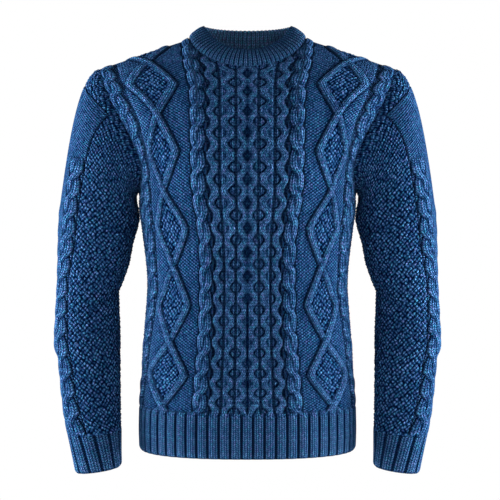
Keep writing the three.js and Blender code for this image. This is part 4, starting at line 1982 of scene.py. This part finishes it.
class Graph:
    """A short way to write down a node tree."""

    def __init__(self, tree: bpy.types.NodeTree) -> None:
        """Takes the tree that the nodes go into."""
        self.tree = tree

    def add(self, kind: str, *values: object, **settings: object) -> bpy.types.Node:
        """Adds a node.

        Args:
            kind: The node's kind.
            values: What goes into its inputs, in their order.
            settings: Its own settings.

        Returns:
            The node.
        """
        node = self.tree.nodes.new(f"ShaderNode{kind}")
        for name, value in settings.items():
            setattr(node, name, value)
        for value, socket in zip(values, node.inputs):
            self.put(value, socket)
        return node

    def put(self, value: object, socket: Socket) -> None:
        """Gives an input its value.

        Args:
            value: A socket, which is linked into the input, or a plain value.
            socket: The input.
        """
        if isinstance(value, bpy.types.NodeSocket):
            self.tree.links.new(value, socket)
        else:
            socket.default_value = value

    def fill(self, node: bpy.types.Node, **values: object) -> bpy.types.Node:
        """Gives a node's inputs their values by name.

        Args:
            node: The node.
            values: The values, by names that have _ for a space.

        Returns:
            The node.
        """
        for name, value in values.items():
            self.put(value, node.inputs[name.replace("_", " ")])
        return node

    def math(self, operation: str, *values: object, clamp: bool = False) -> Socket:
        """Adds a sum of one, two or three values and returns its result."""
        return self.add("Math", *values, operation=operation, use_clamp=clamp).outputs[0]

    def wave(self, value: Socket) -> Socket:
        """Adds a wave that is 0 at whole numbers and 1 halfway, and returns its value."""
        return self.math("ABSOLUTE", self.math("SINE", self.math("MULTIPLY", value, math.pi)))

    def mix(self, factor: object, first: object, second: object, blend: str = "MIX") -> Socket:
        """Adds a mix of two colours.

        Args:
            factor: The share of the second.
            first: The first colour.
            second: The second colour.
            blend: How they are mixed.

        Returns:
            The mixed colour.
        """
        node = self.add("Mix", factor, data_type="RGBA", blend_type=blend)
        for value, socket in zip((first, second), node.inputs[6:8]):
            self.put(value, socket)
        return node.outputs[2]

    def noise(self, vector: Socket, scale: float, detail: float = 2.0) -> Socket:
        """Adds noise of a scale and detail and returns its value."""
        node = self.add("TexNoise")
        return self.fill(node, Vector=vector, Scale=scale, Detail=detail).outputs["Fac"]

    def span(self, value: Socket, low: float, high: float) -> Socket:
        """Adds a value stretched so that low is 0 and high is 1, clamped, and returns it."""
        return self.add("MapRange", value, low, high, clamp=True).outputs[0]


class Group:
    """A shader node group with named inputs and outputs, built once."""

    def __init__(self, name: str, inputs: str, outputs: str) -> None:
        """Makes the group and its sockets, which are colours or numbers.

        Args:
            name: The group's name.
            inputs: The names of the inputs, where those of colours end in a star.
            outputs: The names of the outputs, in the same way.
        """
        self.tree = bpy.data.node_groups.new(name, "ShaderNodeTree")
        for names, way in ((inputs, "INPUT"), (outputs, "OUTPUT")):
            for word in names.split():
                kind = "NodeSocketColor" if word.endswith("*") else "NodeSocketFloat"
                socket = word.rstrip("*")
                self.tree.interface.new_socket(socket, in_out=way, socket_type=kind)
        self.graph = Graph(self.tree)
        self.inputs = self.tree.nodes.new("NodeGroupInput").outputs
        self.outputs = self.tree.nodes.new("NodeGroupOutput").inputs

    def place(self, graph: Graph, **values: object) -> bpy.types.Node:
        """Puts the group into another tree, with its own values, and returns the node."""
        return graph.fill(graph.add("Group", node_tree=self.tree), **values)


def stitch_group() -> Group:
    """Builds the relief of knit, purl and moss stitches from counts of stitches and rows.

    Returns:
        The group.
    """
    group = Group("Stitches", "Across Along Purl Moss", "Height Speck")
    g, ins = group.graph, group.inputs
    across, along = ins["Across"], ins["Along"]

    side = g.math("ABSOLUTE", g.math("SUBTRACT", g.math("FRACT", across), 0.5))
    leg = g.math("ABSOLUTE", g.math("SUBTRACT", g.math("MULTIPLY", side, 4.0), 1.0))
    profile = g.math("SUBTRACT", 1.0, g.math("POWER", leg, 2.0))
    phase = g.math("ADD", along, g.math("MULTIPLY", side, KNIT_LEAN))
    knit = g.math("MULTIPLY", profile, g.math("POWER", g.wave(phase), LOOP_POWER))

    back = g.math("SUBTRACT", along, across)
    row, dash = g.wave(along), g.wave(back)
    dash = g.math("MULTIPLY_ADD", dash, DASH_DEPTH, 1 - DASH_DEPTH)
    purl = g.math("MULTIPLY", g.math("POWER", row, PURL_POWER), dash)

    both = (g.math("ADD", along, across), back)
    lattice = [g.math("MULTIPLY_ADD", count, 0.5, BEAD_SHIFT / 2) for count in both]
    place = g.add("CombineXYZ", *lattice).outputs[0]
    bead = g.add("TexVoronoi", voronoi_dimensions="2D")
    g.fill(bead, Vector=place, Scale=1.0, Randomness=BEAD_SHIFT)
    size = g.math("MULTIPLY_ADD", bead.outputs["Color"], BEAD_MORE, BEAD_LEAST)
    moss = g.math("MULTIPLY_ADD", bead.outputs["Distance"], BEAD_SLOPE, BEAD_TOP)
    moss = g.math("MULTIPLY", moss, size, clamp=True)

    purl_part = g.math("MULTIPLY", purl, ins["Purl"])
    moss_part = g.math("MULTIPLY", moss, ins["Moss"])
    rest = g.math("SUBTRACT", g.math("SUBTRACT", 1.0, ins["Purl"]), ins["Moss"], clamp=True)
    height = g.math("ADD", g.math("MULTIPLY", knit, rest), g.math("ADD", purl_part, moss_part))
    g.put(height, group.outputs["Height"])
    column = g.math("FLOOR", g.math("MULTIPLY", across, 2.0))
    place = g.add("CombineXYZ", column, g.math("FLOOR", phase)).outputs[0]
    speck = g.add("TexWhiteNoise", place, noise_dimensions="2D")
    g.put(speck.outputs["Value"], group.outputs["Speck"])
    return group


def yarn_group() -> Group:
    """Builds the marled colour of the yarn, with painted shade in its gaps and valleys and
    painted highlight on its crests.

    Returns:
        The group.
    """
    inputs = "Base* Plum* Teal* Height Speck Hollow Marl"
    group = Group("Yarn", inputs, "Color* Fibre")
    g, ins = group.graph, group.inputs
    place = g.add("TexCoord").outputs["Object"]
    plum = g.span(g.noise(place, MOTTLE_SIZES[0]), *MOTTLE_SPAN)
    apart = g.add("VectorMath", place, MOTTLE_APART, operation="ADD")
    teal = g.span(g.noise(apart.outputs[0], MOTTLE_SIZES[1]), *MOTTLE_SPAN)
    tone = g.mix(g.math("MULTIPLY", plum, MOTTLE_SHARE), ins["Base"], ins["Plum"])
    tone = g.mix(g.math("MULTIPLY", teal, MOTTLE_SHARE), tone, ins["Teal"])
    slow = g.math("MULTIPLY_ADD", g.noise(place, SLOW_SIZE), SLOW_DEPTH, 1 - SLOW_DEPTH / 2)
    fleck = g.math("SUBTRACT", g.span(g.noise(place, FLECK_SIZE, 1.0), *FLECK_SPAN), 0.5)
    fleck = g.math("MULTIPLY_ADD", fleck, ins["Marl"], 1.0)
    speck = g.math("SUBTRACT", ins["Speck"], 0.5)
    speck = g.math("MULTIPLY_ADD", speck, ins["Marl"], 1.0)
    slow = g.math("MULTIPLY", g.math("MULTIPLY", slow, fleck), speck)
    # painted shade in the gaps between stitches, less toward their tops
    top = g.math("POWER", ins["Height"], TOP_POWER)
    top = g.math("MULTIPLY_ADD", top, TOP_LIGHT, GAP_LIGHT)
    # painted shade in valleys and painted highlight on crests, by the hollow attribute
    sunk = g.math("SUBTRACT", 1.0, g.math("MULTIPLY", ins["Hollow"], HOLLOW_SHADE))
    shade = g.math("MULTIPLY", g.math("MULTIPLY", slow, top), sunk)
    fibre = g.noise(place, FIBRE_SIZE, 3.0)
    fuzz = g.math("MULTIPLY_ADD", fibre, FIBRE_DEPTH, 1 - FIBRE_DEPTH / 2)
    shade = g.math("MULTIPLY", shade, fuzz)
    dim = g.math("MINIMUM", shade, 1.0)
    fades = [g.math("MULTIPLY", shade, g.math("POWER", dim, power)) for power in DEEPENING]
    shade = g.add("CombineColor", *fades).outputs[0]
    g.put(g.mix(1.0, tone, shade, "MULTIPLY"), group.outputs["Color"])
    g.put(fibre, group.outputs["Fibre"])
    return group


@dataclass(frozen=True)
class Wool:
    """A knitted woollen finish: the yarn's colours and the depth of its stitches."""

    name: str
    base: tuple[float, float, float]
    plum: tuple[float, float, float]
    teal: tuple[float, float, float]
    stitch_depth: float
    marl: float  # how much lighter or darker one stitch may be than the next
    roughness: float = 0.88
    fuzz: float = 0.25  # height of the fibres, as a share of a stitch's
    sheen: float = 0.13
    sheen_roughness: float = 0.32
    sheen_tint: tuple[float, float, float] = (0.2, 0.45, 1)

    def make(self, stitches: Group, yarn: Group) -> bpy.types.Material:
        """Makes the material.

        Args:
            stitches: The group that shapes the stitches.
            yarn: The group that colours the yarn.

        Returns:
            The material.
        """
        material = bpy.data.materials.new(self.name)
        material.use_nodes = True
        g = Graph(material.node_tree)
        split = g.add("SeparateXYZ", g.add("UVMap", uv_map="Stitch").outputs[0]).outputs
        purled, beaded, hollow = (
            g.add("Attribute", attribute_name=name).outputs["Fac"]
            for name in ("purl", "moss", "hollow")
        )
        stitch = stitches.place(
            g, Across=split["X"], Along=split["Y"], Purl=purled, Moss=beaded
        ).outputs
        colour = yarn.place(
            g, Base=(*self.base, 1), Plum=(*self.plum, 1), Teal=(*self.teal, 1),
            Height=stitch["Height"], Speck=stitch["Speck"], Hollow=hollow, Marl=self.marl,
        ).outputs
        height = g.math("MULTIPLY_ADD", colour["Fibre"], self.fuzz, stitch["Height"])
        bump = g.add("Bump")
        g.fill(bump, Strength=1.0, Distance=self.stitch_depth * MM, Height=height)
        g.fill(
            material.node_tree.nodes["Principled BSDF"],
            Base_Color=colour["Color"],
            Normal=bump.outputs[0],
            Roughness=self.roughness,
            Specular_IOR_Level=0.0,
            Sheen_Weight=self.sheen,
            Sheen_Roughness=self.sheen_roughness,
            Sheen_Tint=(*self.sheen_tint, 1),
        )
        return material


CABLED = Wool(
    "cabled_wool", (0.060, 0.155, 0.335), (0.125, 0.140, 0.370), (0.030, 0.210, 0.345), 1.6, 0.8
)
RIBBED = Wool(
    "ribbed_wool", (0.070, 0.165, 0.330), (0.132, 0.152, 0.363), (0.037, 0.220, 0.341), 1.4, 0.4
)


# ---- Stage ----


@dataclass(frozen=True)
class Softbox:
    """A square soft light, aimed at the middle of the garment."""

    name: str
    place: tuple[float, float, float]
    size: float
    power: float

    def build(self, aim: Vector) -> None:
        """Puts the light into the scene.

        Args:
            aim: The point that it is turned to.
        """
        light = bpy.data.lights.new(self.name, "AREA")
        light.size = self.size
        light.energy = self.power
        lamp = linked(self.name, light)
        lamp.location = self.place
        lamp.rotation_euler = (aim - Vector(self.place)).to_track_quat("-Z", "Y").to_euler()


SOFTBOXES = table(
    Softbox,
    ("left_softbox", (-2.3, 0.0, -0.6), 1.6, 235.0),
    ("right_softbox", (2.3, 0.0, -0.6), 1.6, 235.0),
    ("left_fill", (-1.5, -1.3, -0.6), 0.4, 8.0),
    ("right_fill", (1.5, -1.3, -0.6), 0.4, 8.0),
    ("front_softbox", (0.0, -2.8, -0.3), 1.0, 3.0),
    ("top_softbox", (0.0, -0.9, 1.7), 1.2, 7.0),
)


@dataclass
class Stage:
    """The pale floor, the studio light and the camera."""

    floor_z: float = -0.80
    floor_half: float = 6.0
    floor_grey: float = 0.93
    floor_roughness: float = 0.9
    ambient: float = 0.18
    camera_place: tuple[float, float, float] = (0.0042, -2.080, -0.356)
    frame_half: float = 0.42
    aim: tuple[float, float, float] = (0.0, 0.0, -0.36)

    def build(self) -> None:
        """Makes the floor, the lights and the camera."""
        scene = bpy.context.scene
        scene.view_settings.view_transform = "Standard"
        data = bpy.data.cameras.new("camera")
        data.angle = 2 * math.atan(self.frame_half / -self.camera_place[1])
        camera = linked("camera", data)
        camera.location = self.camera_place
        camera.rotation_euler = (math.pi / 2, 0, 0)
        scene.camera = camera
        for box in SOFTBOXES:
            box.build(Vector(self.aim))
        self.backdrop()
        self.floor()

    def backdrop(self) -> None:
        """Surrounds the scene with white that lights it only softly."""
        world = bpy.data.worlds.new("studio")
        world.use_nodes = True
        g = Graph(world.node_tree)
        seen = g.add("LightPath").outputs["Is Camera Ray"]
        whites = [g.add("Background", WHITE, power).outputs[0] for power in (self.ambient, 1.0)]
        blend = g.add("MixShader", seen, *whites)
        g.fill(world.node_tree.nodes["World Output"], Surface=blend.outputs[0])
        bpy.context.scene.world = world

    def floor(self) -> None:
        """Lays the floor, which is overlit to white as in a studio."""
        half = self.floor_half
        mesh = bpy.data.meshes.new("floor")
        corners = [(-half, -half), (half, -half), (half, half), (-half, half)]
        mesh.from_pydata([(x, y, self.floor_z) for x, y in corners], [], [(0, 1, 2, 3)])
        plane = linked("floor", mesh)
        material = bpy.data.materials.new("pale_floor")
        material.use_nodes = True
        g = Graph(material.node_tree)
        nodes = material.node_tree.nodes
        shader = nodes["Principled BSDF"]
        g.fill(shader, Base_Color=(*[self.floor_grey] * 3, 1), Roughness=self.floor_roughness)
        seen = g.add("LightPath").outputs["Is Camera Ray"]
        glow = g.add("Emission", WHITE, 1.0)
        blend = g.add("MixShader", seen, shader.outputs[0], glow.outputs[0])
        g.fill(nodes["Material Output"], Surface=blend.outputs[0])
        mesh.materials.append(material)


# ---- The sweater ----


class PieceSpec(NamedTuple):
    """What is listed for one piece of cloth."""

    name: str
    node: str
    slot: str
    flat: tuple[float, float]
    area: float
    held: str = "hung"


SPECS = table(
    PieceSpec,
    ("front_cloth", "front_panel", "cabled_wool", (0.506, 0.64), 0.285),
    ("back_cloth", "back_panel", "cabled_wool", (0.506, 0.66), 0.295),
    ("front_hem", "front_hem_rib", "ribbed_wool", (0.508, 0.066), 0.0335),
    ("back_hem", "back_hem_rib", "ribbed_wool", (0.502, 0.066), 0.0331),
    ("left_sleeve_cloth", "left_sleeve", "cabled_wool", (0.43, 0.60), 0.19),
    ("right_sleeve_cloth", "right_sleeve", "cabled_wool", (0.43, 0.60), 0.19),
    ("left_cuff_rib", "left_cuff", "ribbed_wool", (0.262, 0.058), 0.0145),
    ("right_cuff_rib", "right_cuff", "ribbed_wool", (0.262, 0.058), 0.0145),
    ("neckband_rib", "neckband", "ribbed_wool", (0.49, 0.038), 0.0186),
)


def main() -> None:
    """Builds the stage and each piece in order, and reports them."""
    logging.basicConfig(level=logging.INFO, format="%(name)s: %(message)s")
    Stage().build()
    groups = stitch_group(), yarn_group()
    finishes = {wool.name: wool.make(*groups) for wool in (CABLED, RIBBED)}
    makers = (
        Panel(Face.FRONT), Panel(Face.BACK), HemRib(Face.FRONT), HemRib(Face.BACK),
        Sleeve(1), Sleeve(-1), Cuff(1), Cuff(-1), Neckband(),
    )
    for maker, spec in zip(makers, SPECS):
        piece = maker.build()
        piece.data.materials.append(finishes[spec.slot])
        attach(piece, "root")
        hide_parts(spec.node)
        LOG.info("%s: %d faces", piece.name, len(piece.data.polygons))


if __name__ == "__main__":
    main()
